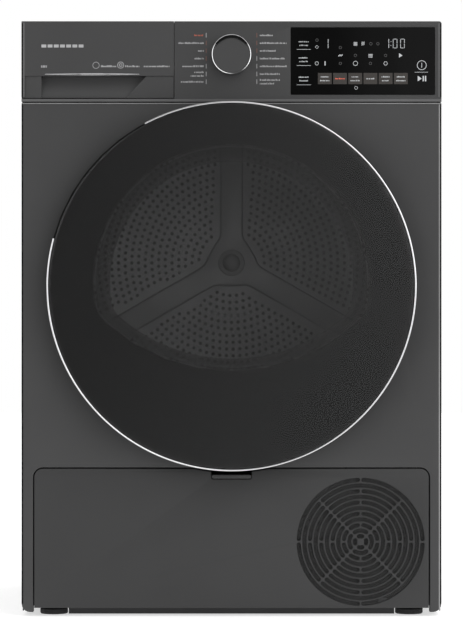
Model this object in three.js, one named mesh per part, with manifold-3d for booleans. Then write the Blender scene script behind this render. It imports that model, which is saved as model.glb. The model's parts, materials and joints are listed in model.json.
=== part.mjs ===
// Heat-pump clothes dryer: painted cabinet, round glass door, water-tank drawer,
// programme knob, service flap and the drum, drive, fans and heat pump inside.
// Millimetres. +Z is up, the front faces -Y, and the origin is on the floor,
// under the middle of the machine.
import * as THREE from "three";
import { mergeVertices } from "three/addons/utils/BufferGeometryUtils.js";
import Module from "manifold-3d";

const wasm = await Module();
wasm.setup();

// ---- driving dimensions ----
const HALF_W = 298.5; // half the cabinet's width
const HEIGHT = 846;
const FRONT_Y = -263.5; // outer face of the front sheet
const DOOR_Y = -304.5; // outer face of the door glass
const BACK_Y = 304.5; // outer face of the rear duct cover
const REAR_SHEET_Y = 286; // inner face of the rear sheet
const SHEET = 1.5; // steel sheet thickness
const GAP = 0.3; // clearance between parts that touch
const SKIRT_Z = 6; // lower edge of the cabinet sheets
const PANEL_TOP_Z = 731; // top of the front sheet, foot of the control panel
const FASCIA_Y = -266; // outer face of the control panel and drawer front
const FASCIA_BACK_Y = -246;
const DRAWER_X = -80.7; // joint between the drawer front and the control panel
const DRAWER_Z = 736.5; // lower edge of the drawer front
const COVER_Z = 828.5; // lower edge of the top cover
const COVER_BACK_Y = 300;
const REAR_HALF_W = 295; // half the rear sheet's width
const TRAY = { halfW: 294, y0: -236, y1: 284, z0: 13, z1: 52, wall: 4 }; // the moulded floor
const PLINTH = { halfW: 233, y0: -233, y1: -227, z0: 1 }; // closes the gap under the flap

const DOOR_Z = 469; // door centre
const DOOR_R = 261.4; // chrome trim's outer radius
const PORT_Z = 474; // centre of the loading port
const PIN_X = 250; // door hinge axis
const PIN_Y = -287;

const DRUM_Z = 512;
const DRUM_R = 286;
const DRUM_WALL = 1.5;
const DRUM_FRONT_Y = -204;
const DRUM_REAR_Y = 226;
const DRUM_LIP_R = 272; // the drum's front opening
const DRUM_SHAFT_R = 12;
const PORT_R = 200.5; // loading port in the bulkhead
const PORT_LOW_Z = 345;

const MOTOR_X = 120;
const MOTOR_Z = 106;
const PULLEY_R = 14;
const BELT_Y = 63; // front edge of the belt
const BELT_WIDTH = 14;
const BELT_THICK = 2;

const FLAP_HALF = 280.5;
const FLAP_TOP_Z = 210;
const FLAP_BOTTOM_Z = 12;
const FLAP_AXIS = { y: -250, z: 20 };
const GRILLE = { x: 183.3, z: 106 };

const TANK_BACK_Y = 170;
const KNOB_Z = 797.4;
const KNOB_DEPTH = 20; // how far the knob stands out of the fascia
const FOOT = { x: 255, frontY: -215, rearY: 252 };

// ---- materials ----
const finish = (color, roughness, metalness) => ({ color, roughness, metalness });
const CABINET = finish(0x4a4b4e, 0.45, 0.4);
const DARK_PLASTIC = finish(0x1d1d1f, 0.5, 0);
const GREY_PLASTIC = finish(0x6b6d70, 0.6, 0);
const BLACK_GLASS = finish(0x0b0b0d, 0.08, 0);
const CHROME = finish(0xd9dadc, 0.12, 1);
const STEEL = finish(0xb4b6b8, 0.3, 1);
const GALVANISED = finish(0x9ea2a5, 0.5, 0.8);
const RUBBER = finish(0x202022, 0.85, 0);
const ALUMINIUM = finish(0xc2c4c6, 0.4, 0.9);
const COPPER = finish(0xb06a3c, 0.35, 1);
const TANK_PLASTIC = finish(0x9fa6ab, 0.4, 0);
const LEVER_PLASTIC = finish(0x8c8f93, 0.5, 0);

// ---- solids ----
const group = new THREE.Group();

function add(name, geometry, material) {
  const mesh = new THREE.Mesh(geometry, new THREE.MeshStandardMaterial(material));
  mesh.name = name;
  group.add(mesh);
}

function toManifold(geometry) {
  const bare = geometry.clone();
  bare.deleteAttribute("normal");
  bare.deleteAttribute("uv");
  const merged = mergeVertices(bare, 1e-3);
  return new wasm.Manifold(new wasm.Mesh({
    numProp: 3,
    vertProperties: merged.attributes.position.array,
    triVerts: new Uint32Array(merged.index.array),
  }));
}

function toGeometry(solid) {
  const mesh = solid.getMesh();
  const geometry = new THREE.BufferGeometry();
  geometry.setAttribute("position", new THREE.BufferAttribute(mesh.vertProperties, 3));
  geometry.setIndex(new THREE.BufferAttribute(mesh.triVerts, 1));
  geometry.computeVertexNormals();
  return geometry;
}

function join(...geometries) {
  return toGeometry(geometries.map(toManifold).reduce((sum, next) => sum.add(next)));
}

function cut(geometry, ...tools) {
  const solid = toManifold(geometry);
  return toGeometry(tools.map(toManifold).reduce((rest, tool) => rest.subtract(tool), solid));
}

function box(x0, x1, y0, y1, z0, z1) {
  const geometry = new THREE.BoxGeometry(x1 - x0, y1 - y0, z1 - z0);
  return geometry.translate((x0 + x1) / 2, (y0 + y1) / 2, (z0 + z1) / 2);
}

// A flat outline given as (x, z), filled from y0 to y1.
function facing(shape, y0, y1, curveSegments = 12) {
  const geometry = new THREE.ExtrudeGeometry(shape, { depth: y1 - y0, bevelEnabled: false, curveSegments });
  return geometry.rotateX(Math.PI / 2).translate(0, y1, 0);
}

// A flat outline given as (y, z), filled from x0 to x1.
function sideways(shape, x0, x1, curveSegments = 12) {
  const geometry = new THREE.ExtrudeGeometry(shape, { depth: x1 - x0, bevelEnabled: false, curveSegments });
  const turn = new THREE.Matrix4().makeBasis(
    new THREE.Vector3(0, 1, 0), new THREE.Vector3(0, 0, 1), new THREE.Vector3(1, 0, 0));
  return geometry.applyMatrix4(turn).translate(x0, 0, 0);
}

// A flat outline given as (x, y), filled from z0 to z1.
function upright(shape, z0, z1, curveSegments = 12) {
  const geometry = new THREE.ExtrudeGeometry(shape, { depth: z1 - z0, bevelEnabled: false, curveSegments });
  return geometry.translate(0, 0, z0);
}

// A turned solid about a Y axis through (x, z); the profile is [radius, y] pairs.
function turnedY(profile, x, z, segments = 32) {
  return lathe(profile, segments).translate(x, 0, z);
}

// A turned solid about a Z axis through (x, y); the profile is [radius, z] pairs.
function turnedZ(profile, x, y, segments = 32) {
  return lathe(profile, segments).rotateX(Math.PI / 2).translate(x, y, 0);
}

function lathe(profile, segments) {
  const points = profile.map(([r, h]) => new THREE.Vector2(r, h));
  const onAxis = points[0].x === 0 && points[points.length - 1].x === 0;
  if (THREE.ShapeUtils.area(points) < 0) points.reverse();
  if (!onAxis) points.push(points[0].clone());
  return new THREE.LatheGeometry(points, segments);
}

const ring = (inner, outer, h0, h1) => [[inner, h0], [outer, h0], [outer, h1], [inner, h1]];
const rod = (radius, h0, h1) => [[0, h0], [radius, h0], [radius, h1], [0, h1]];

// ---- outlines ----
function polygon(points) {
  return new THREE.Shape(points.map(([a, b]) => new THREE.Vector2(a, b)));
}

function roundedRect(a0, a1, b0, b1, lowRadius, highRadius = lowRadius) {
  const s = new THREE.Shape();
  s.moveTo(a0 + lowRadius, b0);
  s.lineTo(a1 - lowRadius, b0);
  if (lowRadius) s.absarc(a1 - lowRadius, b0 + lowRadius, lowRadius, -Math.PI / 2, 0);
  s.lineTo(a1, b1 - highRadius);
  if (highRadius) s.absarc(a1 - highRadius, b1 - highRadius, highRadius, 0, Math.PI / 2);
  s.lineTo(a0 + highRadius, b1);
  if (highRadius) s.absarc(a0 + highRadius, b1 - highRadius, highRadius, Math.PI / 2, Math.PI);
  s.lineTo(a0, b0 + lowRadius);
  if (lowRadius) s.absarc(a0 + lowRadius, b0 + lowRadius, lowRadius, Math.PI, Math.PI * 1.5);
  return s;
}

function circlePoints(cx, cz, radius, count, from = 0, to = 2 * Math.PI, closed = false) {
  const steps = closed ? count - 1 : count;
  return Array.from({ length: count }, (_, i) => {
    const a = from + ((to - from) * i) / steps;
    return [cx + radius * Math.cos(a), cz + radius * Math.sin(a)];
  });
}

const disc = (cx, cz, radius, count = 32) => polygon(circlePoints(cx, cz, radius, count));

// Part of a flat ring between two radii and two angles, in radians.
function ringSector(cx, cz, inner, outer, from, to, count = 8) {
  const far = circlePoints(cx, cz, outer, count, from, to, true);
  const near = circlePoints(cx, cz, inner, count, to, from, true);
  return polygon([...far, ...near]);
}

// The loading port's outline: a circle about (0, PORT_Z) closed below by a flatter
// arc, with the two corners between them rounded.
const FLAT_ARC_EXTRA = 70; // how much larger the lower arc's radius is
const CORNER_TRIM = 140; // how much smaller the corners' radius is
function portOutline(radius, bottomZ, count = 40) {
  const lowR = radius + FLAT_ARC_EXTRA;
  const cornerR = radius - CORNER_TRIM;
  const rise = bottomZ + lowR - PORT_Z;
  const far = radius - cornerR;
  const near = lowR - cornerR;
  const up = (far ** 2 - near ** 2 + rise ** 2) / (2 * rise);
  const out = Math.sqrt(far ** 2 - up ** 2);
  const side = Math.atan2(up, out);
  const foot = Math.atan2(up - rise, out);
  const cornerCount = Math.round(count / 8);
  const upperCount = Math.round(count * 0.62);
  const lowerCount = count - upperCount - 2 * cornerCount + 4;
  const upper = circlePoints(0, PORT_Z, radius, upperCount, side, Math.PI - side, true);
  const left = circlePoints(-out, PORT_Z + up, cornerR, cornerCount, Math.PI - side, Math.PI - foot, true);
  const lower = circlePoints(0, PORT_Z + rise, lowR, lowerCount, Math.PI - foot, 2 * Math.PI + foot, true);
  const right = circlePoints(out, PORT_Z + up, cornerR, cornerCount, foot, side, true);
  return [...upper, ...left.slice(1, -1), ...lower, ...right.slice(1, -1)];
}

// A closed skin over a row of rings with equal point counts, capped at both ends.
function loft(rings) {
  const count = rings[0].length;
  const positions = rings.flat(2);
  const faces = [];
  for (let r = 0; r + 1 < rings.length; r += 1) {
    for (let i = 0; i < count; i += 1) {
      const a = r * count + i;
      const b = r * count + ((i + 1) % count);
      faces.push(a, b, b + count, a, b + count, a + count);
    }
  }
  const centre = (row) => row.reduce((s, p) => s.map((v, k) => v + p[k] / count), [0, 0, 0]);
  positions.push(...centre(rings[0]), ...centre(rings[rings.length - 1]));
  const first = rings.length * count;
  const lastRow = first - count;
  for (let i = 0; i < count; i += 1) {
    const next = (i + 1) % count;
    faces.push(first, next, i);
    faces.push(first + 1, lastRow + i, lastRow + next);
  }
  const geometry = new THREE.BufferGeometry();
  geometry.setAttribute("position", new THREE.Float32BufferAttribute(positions, 3));
  geometry.setIndex(faces);
  if (toManifold(geometry).volume() < 0) geometry.index.array.reverse();
  return geometry;
}

const atY = (outline, y) => outline.map(([x, z]) => [x, y, z]);

// ---- cabinet ----
function addFeet() {
  const profile = [[0, 0], [19, 0], [20, 1.5], [20, 7], [15, 9], [6, 9], [6, 21], [0, 21]];
  const places = {
    foot_front_left: [-FOOT.x, FOOT.frontY], foot_front_right: [FOOT.x, FOOT.frontY],
    foot_rear_left: [-FOOT.x, FOOT.rearY], foot_rear_right: [FOOT.x, FOOT.rearY],
  };
  for (const [name, [x, y]] of Object.entries(places)) add(name, turnedZ(profile, x, y, 16), RUBBER);
}

// The moulded floor tray with its plinth, screw holes for the feet and ears of the flap hinge.
function addBase() {
  const { halfW, y0, y1, z0, z1, wall } = TRAY;
  const tray = cut(
    box(-halfW, halfW, y0, y1, z0, z1),
    box(-halfW + wall, halfW - wall, y0 + wall, y1 - wall, z0 + wall, z1 + 1));
  const plinth = box(-PLINTH.halfW, PLINTH.halfW, PLINTH.y0, PLINTH.y1, PLINTH.z0, z0 + 1);
  const ear = new THREE.Shape();
  ear.absarc(FLAP_AXIS.y, FLAP_AXIS.z, 6.5, Math.PI / 2, Math.PI * 1.5);
  ear.lineTo(TRAY.y0 + 1, FLAP_AXIS.z - 6.5);
  ear.lineTo(TRAY.y0 + 1, FLAP_AXIS.z + 6.5);
  const pinHole = circlePoints(FLAP_AXIS.y, FLAP_AXIS.z, 3.4, 12);
  ear.holes.push(polygon(pinHole));
  const ears = [-230, 222].map((x) => sideways(ear, x, x + 8, 8));
  const screwHoles = [-FOOT.x, FOOT.x].flatMap((x) => [FOOT.frontY, FOOT.rearY].map(
    (y) => turnedZ(rod(7, z0 - 1, z0 + wall + 1), x, y, 16)));
  const fanNotch = box(GRILLE.x - 75, GRILLE.x + 75, y0 - wall, y0 + 6, 30, z1 + 1);
  add("base_module", cut(join(tray, plinth, ...ears), fanNotch, ...screwHoles), DARK_PLASTIC);
}

function addSidePanels() {
  const [frontEdge, flange] = [-241, 16];
  for (const [name, side] of [["side_panel_left", -1], ["side_panel_right", 1]]) {
    const outer = side * HALF_W;
    const inner = side * (HALF_W - SHEET);
    const lip = side * (HALF_W - flange);
    const section = polygon([
      [outer, frontEdge], [outer, REAR_SHEET_Y - GAP], [lip, REAR_SHEET_Y - GAP],
      [lip, REAR_SHEET_Y - GAP - SHEET], [inner, REAR_SHEET_Y - GAP - SHEET], [inner, frontEdge]]);
    add(name, upright(section, SKIRT_Z, COVER_Z - GAP), CABINET);
  }
}

const LATCH = { x0: -236, x1: -217, z0: 461, z1: 477 };
const HINGE_SLOT = { x0: 225, x1: 236, z0: 439, z1: 499 };

function addFrontPanel() {
  const skirt = 12;
  const depth = 22;
  const outline = roundedRect(-HALF_W, HALF_W, SKIRT_Z, PANEL_TOP_Z, skirt, 2);
  const hollow = box(
    -HALF_W + SHEET, HALF_W - SHEET, FRONT_Y + SHEET, FRONT_Y + depth + 1, 0, PANEL_TOP_Z - SHEET);
  const opening = roundedRect(-FLAP_HALF - 2.5, FLAP_HALF + 2.5, 0, FLAP_TOP_Z + 2.5, 0, 14);
  const through = (shape) => facing(shape, FRONT_Y - 1, FRONT_Y + SHEET + 1, 6);
  add("front_panel", cut(
    facing(outline, FRONT_Y, FRONT_Y + depth, 4),
    hollow,
    through(disc(0, PORT_Z, 208, 40)),
    through(opening),
    through(roundedRect(LATCH.x0, LATCH.x1, LATCH.z0, LATCH.z1, 0)),
    through(roundedRect(HINGE_SLOT.x0, HINGE_SLOT.x1, HINGE_SLOT.z0, HINGE_SLOT.z1, 0))), CABINET);
}

function addTopCover() {
  const outline = roundedRect(-HALF_W, HALF_W, FASCIA_BACK_Y + 0.5, COVER_BACK_Y, 2, 8);
  const hollow = roundedRect(-HALF_W + 2, HALF_W - 2, FASCIA_BACK_Y + 2.5, 298, 2, 6);
  add("top_cover", cut(
    upright(outline, COVER_Z, HEIGHT, 4),
    upright(hollow, COVER_Z - 1, HEIGHT - 2, 4)), CABINET);
}

function addRearPanel() {
  const sheet = roundedRect(-REAR_HALF_W, REAR_HALF_W, 8, COVER_Z - 1, 4);
  const spokes = 6;
  for (let i = 0; i < spokes; i += 1) {
    const middle = ((i + 0.5) * 2 * Math.PI) / spokes;
    const half = 0.4;
    sheet.holes.push(ringSector(0, DRUM_Z, 85, 195, middle - half, middle + half, 5));
  }
  sheet.holes.push(disc(0, DRUM_Z, 14, 16));
  sheet.holes.push(disc(MOTOR_X, MOTOR_Z, 58, 24));
  add("rear_panel", facing(sheet, REAR_SHEET_Y, REAR_SHEET_Y + 2, 4), GALVANISED);
}

// The outline around two circles joined by their outer tangents, which the belt
// and the rear duct share.
function twoCircleOutline(big, small, bigCount, smallCount) {
  const away = Math.atan2(small.z - big.z, small.x - big.x);
  const distance = Math.hypot(small.x - big.x, small.z - big.z);
  const tangent = Math.acos((big.r - small.r) / distance);
  const [from, to] = [away - tangent, away + tangent];
  return [
    ...circlePoints(big.x, big.z, big.r, bigCount, to, from + 2 * Math.PI, true),
    ...circlePoints(small.x, small.z, small.r, smallCount, from, to, true)];
}

function addRearDuctCover() {
  const front = REAR_SHEET_Y + 2 + GAP;
  const wall = 2;
  const skin = (inset) => polygon(twoCircleOutline(
    { x: 0, z: DRUM_Z, r: 222 - inset }, { x: MOTOR_X, z: MOTOR_Z, r: 84 - inset }, 36, 14));
  add("rear_duct_cover", cut(
    facing(skin(0), front, BACK_Y),
    facing(skin(wall), front - 1, BACK_Y - wall)), GALVANISED);
}

function addCordGland() {
  const base = REAR_SHEET_Y + 2 + GAP;
  const profile = [[0, base], [15, base], [15, base + 4], [10, base + 5], [8, base + 14], [0, base + 14]];
  add("cord_gland", turnedY(profile, -250, 780, 16), DARK_PLASTIC);
}

// ---- control panel ----
const WINDOW = { x0: 84.5, x1: 288.6, z0: 741.9, z1: 836.8 };

function addControlPanel() {
  const wall = 3;
  const low = PANEL_TOP_Z + 0.8;
  const sill = DRAWER_Z - 0.7; // top of the strip that runs on under the drawer
  const solid = polygon([
    [-HALF_W, low], [HALF_W, low], [HALF_W, HEIGHT], [DRAWER_X, HEIGHT], [DRAWER_X, sill],
    [-HALF_W, sill]]);
  const hollow = box(
    DRAWER_X + wall, HALF_W - wall, FASCIA_Y + wall, FASCIA_BACK_Y + 1, sill + GAP, HEIGHT - wall);
  const recess = roundedRect(WINDOW.x0 - GAP, WINDOW.x1 + GAP, WINDOW.z0 - GAP, WINDOW.z1 + GAP, 1.3);
  add("control_panel", cut(
    facing(solid, FASCIA_Y, FASCIA_BACK_Y),
    hollow,
    facing(recess, FASCIA_Y - 1, FASCIA_Y + 1.6, 4),
    turnedY(rod(7, FASCIA_Y - 1, FASCIA_Y + wall + 1), 0, KNOB_Z, 20)), CABINET);
  const glass = roundedRect(WINDOW.x0, WINDOW.x1, WINDOW.z0, WINDOW.z1, 1);
  add("display_window", facing(glass, FASCIA_Y - 0.4, FASCIA_Y + 1.3, 4), BLACK_GLASS);
  add("control_electronics", box(60, 285, -244, -214, 742, 824), DARK_PLASTIC);
}

function addKnob() {
  const face = FASCIA_Y - KNOB_DEPTH;
  const body = [
    [0, face + 1.5], [22, face + 1.5], [25, face], [25.6, face], [25.6, FASCIA_Y - 1],
    [6, FASCIA_Y - 1], [6, FASCIA_Y + 12], [0, FASCIA_Y + 12]];
  add("knob_body", turnedY(body, 0, KNOB_Z, 28), DARK_PLASTIC);
  add("knob_ring", turnedY(ring(25.9, 28.3, face - 0.5, FASCIA_Y - 2), 0, KNOB_Z, 28), CHROME);
}

// ---- water-tank drawer ----
const TANK = { x0: -286, x1: -98, z0: 746 };

// The tank's cross-section: flat above the side, curved over the drum. A larger
// offset gives a larger outline, so the housing wraps the tank.
function tankSection(offset, topZ) {
  const left = TANK.x0 - offset;
  const right = TANK.x1 + offset;
  const bottom = TANK.z0 - offset;
  const radius = 299 - offset;
  const from = Math.PI - Math.asin((bottom - DRUM_Z) / radius);
  const to = Math.acos(right / radius);
  const overDrum = circlePoints(0, DRUM_Z, radius, 8, from, to, true);
  return polygon([[left, topZ], [left, bottom], ...overDrum, [right, topZ]]);
}

const SCOOP = { left: -270, rightTop: -120, rightLow: -151, top: 767.5 };

function addTankDrawer() {
  const wall = 2.5;
  const top = 822;
  const solid = roundedRect(-HALF_W, DRAWER_X - 1, DRAWER_Z, HEIGHT, 0);
  const under = DRAWER_Z - 1;
  const scoop = polygon([
    [SCOOP.left, under], [SCOOP.rightLow, under], [SCOOP.rightTop, SCOOP.top], [SCOOP.left, SCOOP.top]]);
  const lowStep = box(-HALF_W - 1, DRAWER_X, FASCIA_Y - 1, FASCIA_Y + 1.2, under, SCOOP.top + 0.1);
  add("drawer_front", cut(
    facing(solid, FASCIA_Y, FASCIA_BACK_Y),
    lowStep,
    facing(scoop, FASCIA_Y - 1, FASCIA_BACK_Y - 5)), CABINET);
  add("drawer_strip", box(-265, -131, FASCIA_Y - 1.2, FASCIA_Y - GAP, 769.2, 772), CHROME);
  const front = FASCIA_BACK_Y + GAP;
  add("water_tank", cut(
    facing(tankSection(0, top), front, TANK_BACK_Y),
    facing(tankSection(-wall, top + 1), front + wall, TANK_BACK_Y - wall)), TANK_PLASTIC);
  const lid = roundedRect(TANK.x0, TANK.x1, front, TANK_BACK_Y, 2);
  lid.holes.push(disc(-200, TANK_BACK_Y - 40, 16, 20));
  lid.holes.push(disc(-250, front + 36, 12, 16));
  add("tank_lid", upright(lid, top + GAP, top + GAP + 2, 3), TANK_PLASTIC);
  add("tank_housing", cut(
    facing(tankSection(5.5, 820), front + 2, TANK_BACK_Y + 14),
    facing(tankSection(3, 821), front + 1, TANK_BACK_Y + 8)), GREY_PLASTIC);
}

// ---- bulkhead, seal and lint filter ----
const TUNNEL = portOutline(PORT_R, PORT_LOW_Z);

function addBulkhead() {
  const back = DRUM_FRONT_Y - 6;
  const plateFront = back - 12;
  const plate = facing(roundedRect(-288, 288, 216, 720, 10), plateFront, back, 3);
  const collar = turnedY(rod(211, FRONT_Y + SHEET + GAP, plateFront + 1), 0, PORT_Z, 40);
  const stubs = ROLLERS.map(({ x }) => turnedY(rod(5, back - 1, DRUM_FRONT_Y + 20), x, ROLLER_Z, 12));
  add("front_bulkhead", cut(
    join(plate, collar, ...stubs),
    facing(polygon(TUNNEL), FRONT_Y, back + 1),
    box(-93, 93, -253, -233, 268, 400),
    box(-60, 60, -251, -235, 250, 300)), GREY_PLASTIC);
  const bead = ring(PORT_R + 0.5, PORT_R + 7.1, FRONT_Y - 2.5, FRONT_Y + SHEET);
  add("door_seal", turnedY(bead, 0, PORT_Z, 40), RUBBER);
  const frame = roundedRect(-92, 92, 269, 340, 3);
  const windows = 3;
  for (let i = 0; i < windows; i += 1) {
    const left = -86 + i * 58;
    frame.holes.push(roundedRect(left, left + 54, 276, 328, 2));
  }
  add("lint_filter", facing(frame, -252, -234, 2), LEVER_PLASTIC);
}

// ---- drum ----
const ROLLER_R = 25;
const ROLLER_Z = 273.5;
const ROLLERS = [
  { name: "drum_roller_left", x: -201 },
  { name: "drum_roller_right", x: 201 },
];
const LIFTER_ANGLES = [90, 210, 330].map((deg) => (deg * Math.PI) / 180);

function addDrum() {
  const inner = DRUM_R - DRUM_WALL;
  const shell = [
    [DRUM_LIP_R, DRUM_FRONT_Y], [DRUM_R, DRUM_FRONT_Y], [DRUM_R, DRUM_REAR_Y], [inner, DRUM_REAR_Y],
    [inner, DRUM_FRONT_Y + DRUM_WALL], [DRUM_LIP_R, DRUM_FRONT_Y + DRUM_WALL]];
  add("drum_shell", turnedY(shell, 0, DRUM_Z, 48), STEEL);

  const wall = disc(0, DRUM_Z, inner - GAP, 48);
  for (const arm of LIFTER_ANGLES) {
    for (const [radius, holes] of [[135, 3], [190, 5]]) {
      for (let i = 0; i < holes; i += 1) {
        const angle = arm + Math.PI / 3 + (i - (holes - 1) / 2) * (44 / radius);
        wall.holes.push(disc(radius * Math.cos(angle), DRUM_Z + radius * Math.sin(angle), 7, 6));
      }
    }
  }
  const plate = facing(wall, DRUM_REAR_Y - 3, DRUM_REAR_Y - 1);
  const arm = roundedRect(30, 255, -18, 18, 6);
  const arms = LIFTER_ANGLES.map((angle) => facing(arm, DRUM_REAR_Y - 9, DRUM_REAR_Y - 2, 3)
    .rotateY(-angle).translate(0, 0, DRUM_Z));
  const hub = turnedY([
    [0, DRUM_REAR_Y - 24], [11, DRUM_REAR_Y - 21], [14, DRUM_REAR_Y - 13], [21, DRUM_REAR_Y - 12],
    [21, DRUM_REAR_Y - 9], [40, DRUM_REAR_Y - 9], [40, DRUM_REAR_Y - 1], [DRUM_SHAFT_R, DRUM_REAR_Y - 1],
    [DRUM_SHAFT_R, 292], [0, 292]], 0, DRUM_Z, 32);
  add("drum_rear_wall", join(plate, ...arms, hub), STEEL);

  const ridge = polygon([[-36, inner - 4.2], [-24, inner - 12], [-9, inner - 52], [0, inner - 56],
    [9, inner - 52], [24, inner - 12], [36, inner - 4.2]]);
  LIFTER_ANGLES.forEach((angle, i) => {
    const lifter = facing(ridge, DRUM_FRONT_Y + 22, DRUM_REAR_Y - 28);
    add(`drum_lifter_${i + 1}`, lifter.rotateY(Math.PI / 2 - angle).translate(0, 0, DRUM_Z), GREY_PLASTIC);
  });

  for (const { name, x } of ROLLERS) {
    const profile = ring(5.4, ROLLER_R, DRUM_FRONT_Y + 3, DRUM_FRONT_Y + 17);
    add(name, turnedY(profile, x, ROLLER_Z, 24), RUBBER);
  }
  const bearing = ring(DRUM_SHAFT_R + 0.4, 30, 262, REAR_SHEET_Y - GAP);
  add("rear_bearing", turnedY(bearing, 0, DRUM_Z, 24), ALUMINIUM);
}

// ---- drive ----
function addDrive() {
  const beltOutline = (offset) => twoCircleOutline(
    { x: 0, z: DRUM_Z, r: DRUM_R + offset }, { x: MOTOR_X, z: MOTOR_Z, r: PULLEY_R + offset }, 48, 8);
  const belt = polygon(beltOutline(GAP * 2 + BELT_THICK));
  belt.holes.push(polygon(beltOutline(GAP * 2)));
  add("drum_belt", facing(belt, BELT_Y, BELT_Y + BELT_WIDTH), RUBBER);

  const bodyFront = 92;
  const bodyBack = 198;
  const motor = turnedY([
    [11, bodyFront], [44, bodyFront], [52, bodyFront + 10], [52, bodyBack - 10], [44, bodyBack],
    [11, bodyBack]], MOTOR_X, MOTOR_Z, 28);
  const cradle = box(MOTOR_X - 40, MOTOR_X + 40, bodyFront + 15, bodyBack - 15, 17 + GAP, MOTOR_Z - 36);
  add("motor_body", join(motor, cradle), GALVANISED);
  const shaft = [
    [0, BELT_Y - 4], [PULLEY_R + 3, BELT_Y - 4], [PULLEY_R + 3, BELT_Y - 1], [PULLEY_R, BELT_Y - 1],
    [PULLEY_R, BELT_Y + BELT_WIDTH + 1], [PULLEY_R + 3, BELT_Y + BELT_WIDTH + 1],
    [PULLEY_R + 3, BELT_Y + BELT_WIDTH + 4], [8, BELT_Y + BELT_WIDTH + 4], [8, 258], [0, 258]];
  add("motor_shaft", turnedY(shaft, MOTOR_X, MOTOR_Z, 20), STEEL);

  // The idler leans on the belt's outer face, on the run that rises to the right.
  const tangent = Math.acos((DRUM_R - PULLEY_R) / Math.hypot(DRUM_Z - MOTOR_Z, MOTOR_X));
  const normal = Math.atan2(MOTOR_Z - DRUM_Z, MOTOR_X) + tangent;
  const idlerR = 15;
  const along = 90;
  const out = PULLEY_R + GAP * 3 + BELT_THICK + idlerR;
  const idlerX = MOTOR_X + out * Math.cos(normal) - along * Math.sin(normal);
  const idlerZ = MOTOR_Z + out * Math.sin(normal) + along * Math.cos(normal);
  const idler = ring(5.4, idlerR, BELT_Y - 1, BELT_Y + BELT_WIDTH + 1);
  add("belt_idler", turnedY(idler, idlerX, idlerZ, 20), DARK_PLASTIC);
}

// ---- air path ----
const DUCT = { x0: -262, x1: -68, z0: 22, z1: 200, y0: -231, y1: 200 };

function addAirPath() {
  const wall = 3;
  add("exchanger_duct", cut(
    box(DUCT.x0, DUCT.x1, DUCT.y0, DUCT.y1, DUCT.z0, DUCT.z1),
    box(DUCT.x0 + wall, DUCT.x1 - wall, DUCT.y0 - 1, DUCT.y1 + 1, DUCT.z0 + wall, DUCT.z1 - wall)),
  GREY_PLASTIC);

  const fins = 14;
  const pitch = (DUCT.x1 - DUCT.x0 - 24) / fins;
  for (const [name, y0, y1] of [["evaporator", -215, -125], ["condenser", -100, 20]]) {
    const slots = Array.from({ length: fins }, (_, i) => {
      const x = DUCT.x0 + 12 + i * pitch;
      return box(x + 1.5, x + pitch - 1.5, y0 - 1, y1 + 1, DUCT.z0 + 16, DUCT.z1 - 16);
    });
    const core = box(DUCT.x0 + 8, DUCT.x1 - 8, y0, y1, DUCT.z0 + 8, DUCT.z1 - 8);
    add(name, cut(core, ...slots), ALUMINIUM);
  }
  addExchangerCover();
  addFans(wall);
}

function addExchangerCover() {
  const face = DUCT.y0 - 6;
  const pivot = 4;
  const plate = cut(
    facing(roundedRect(DUCT.x0, DUCT.x1, 56, DUCT.z1 - 2, 8), face, DUCT.y0 - GAP, 3),
    facing(roundedRect(-200, -130, 116, 140, 5), face - 1, face + 3, 3));
  const levers = [["cover_lever_left", DUCT.x0 + 20], ["cover_lever_right", DUCT.x1 - 20]];
  const holes = levers.map(([, x]) => turnedY(rod(pivot + 0.4, face - 1, DUCT.y0), x, 128, 12));
  add("exchanger_cover", cut(plate, ...holes), GREY_PLASTIC);
  for (const [name, x] of levers) {
    const arm = facing(roundedRect(x - 8, x + 8, 96, 138, 7), face - 8, face - 2, 3);
    const pin = turnedY(rod(pivot, face - 3, DUCT.y0 - 2), x, 128, 12);
    add(name, join(arm, pin), LEVER_PLASTIC);
  }
}

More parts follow.
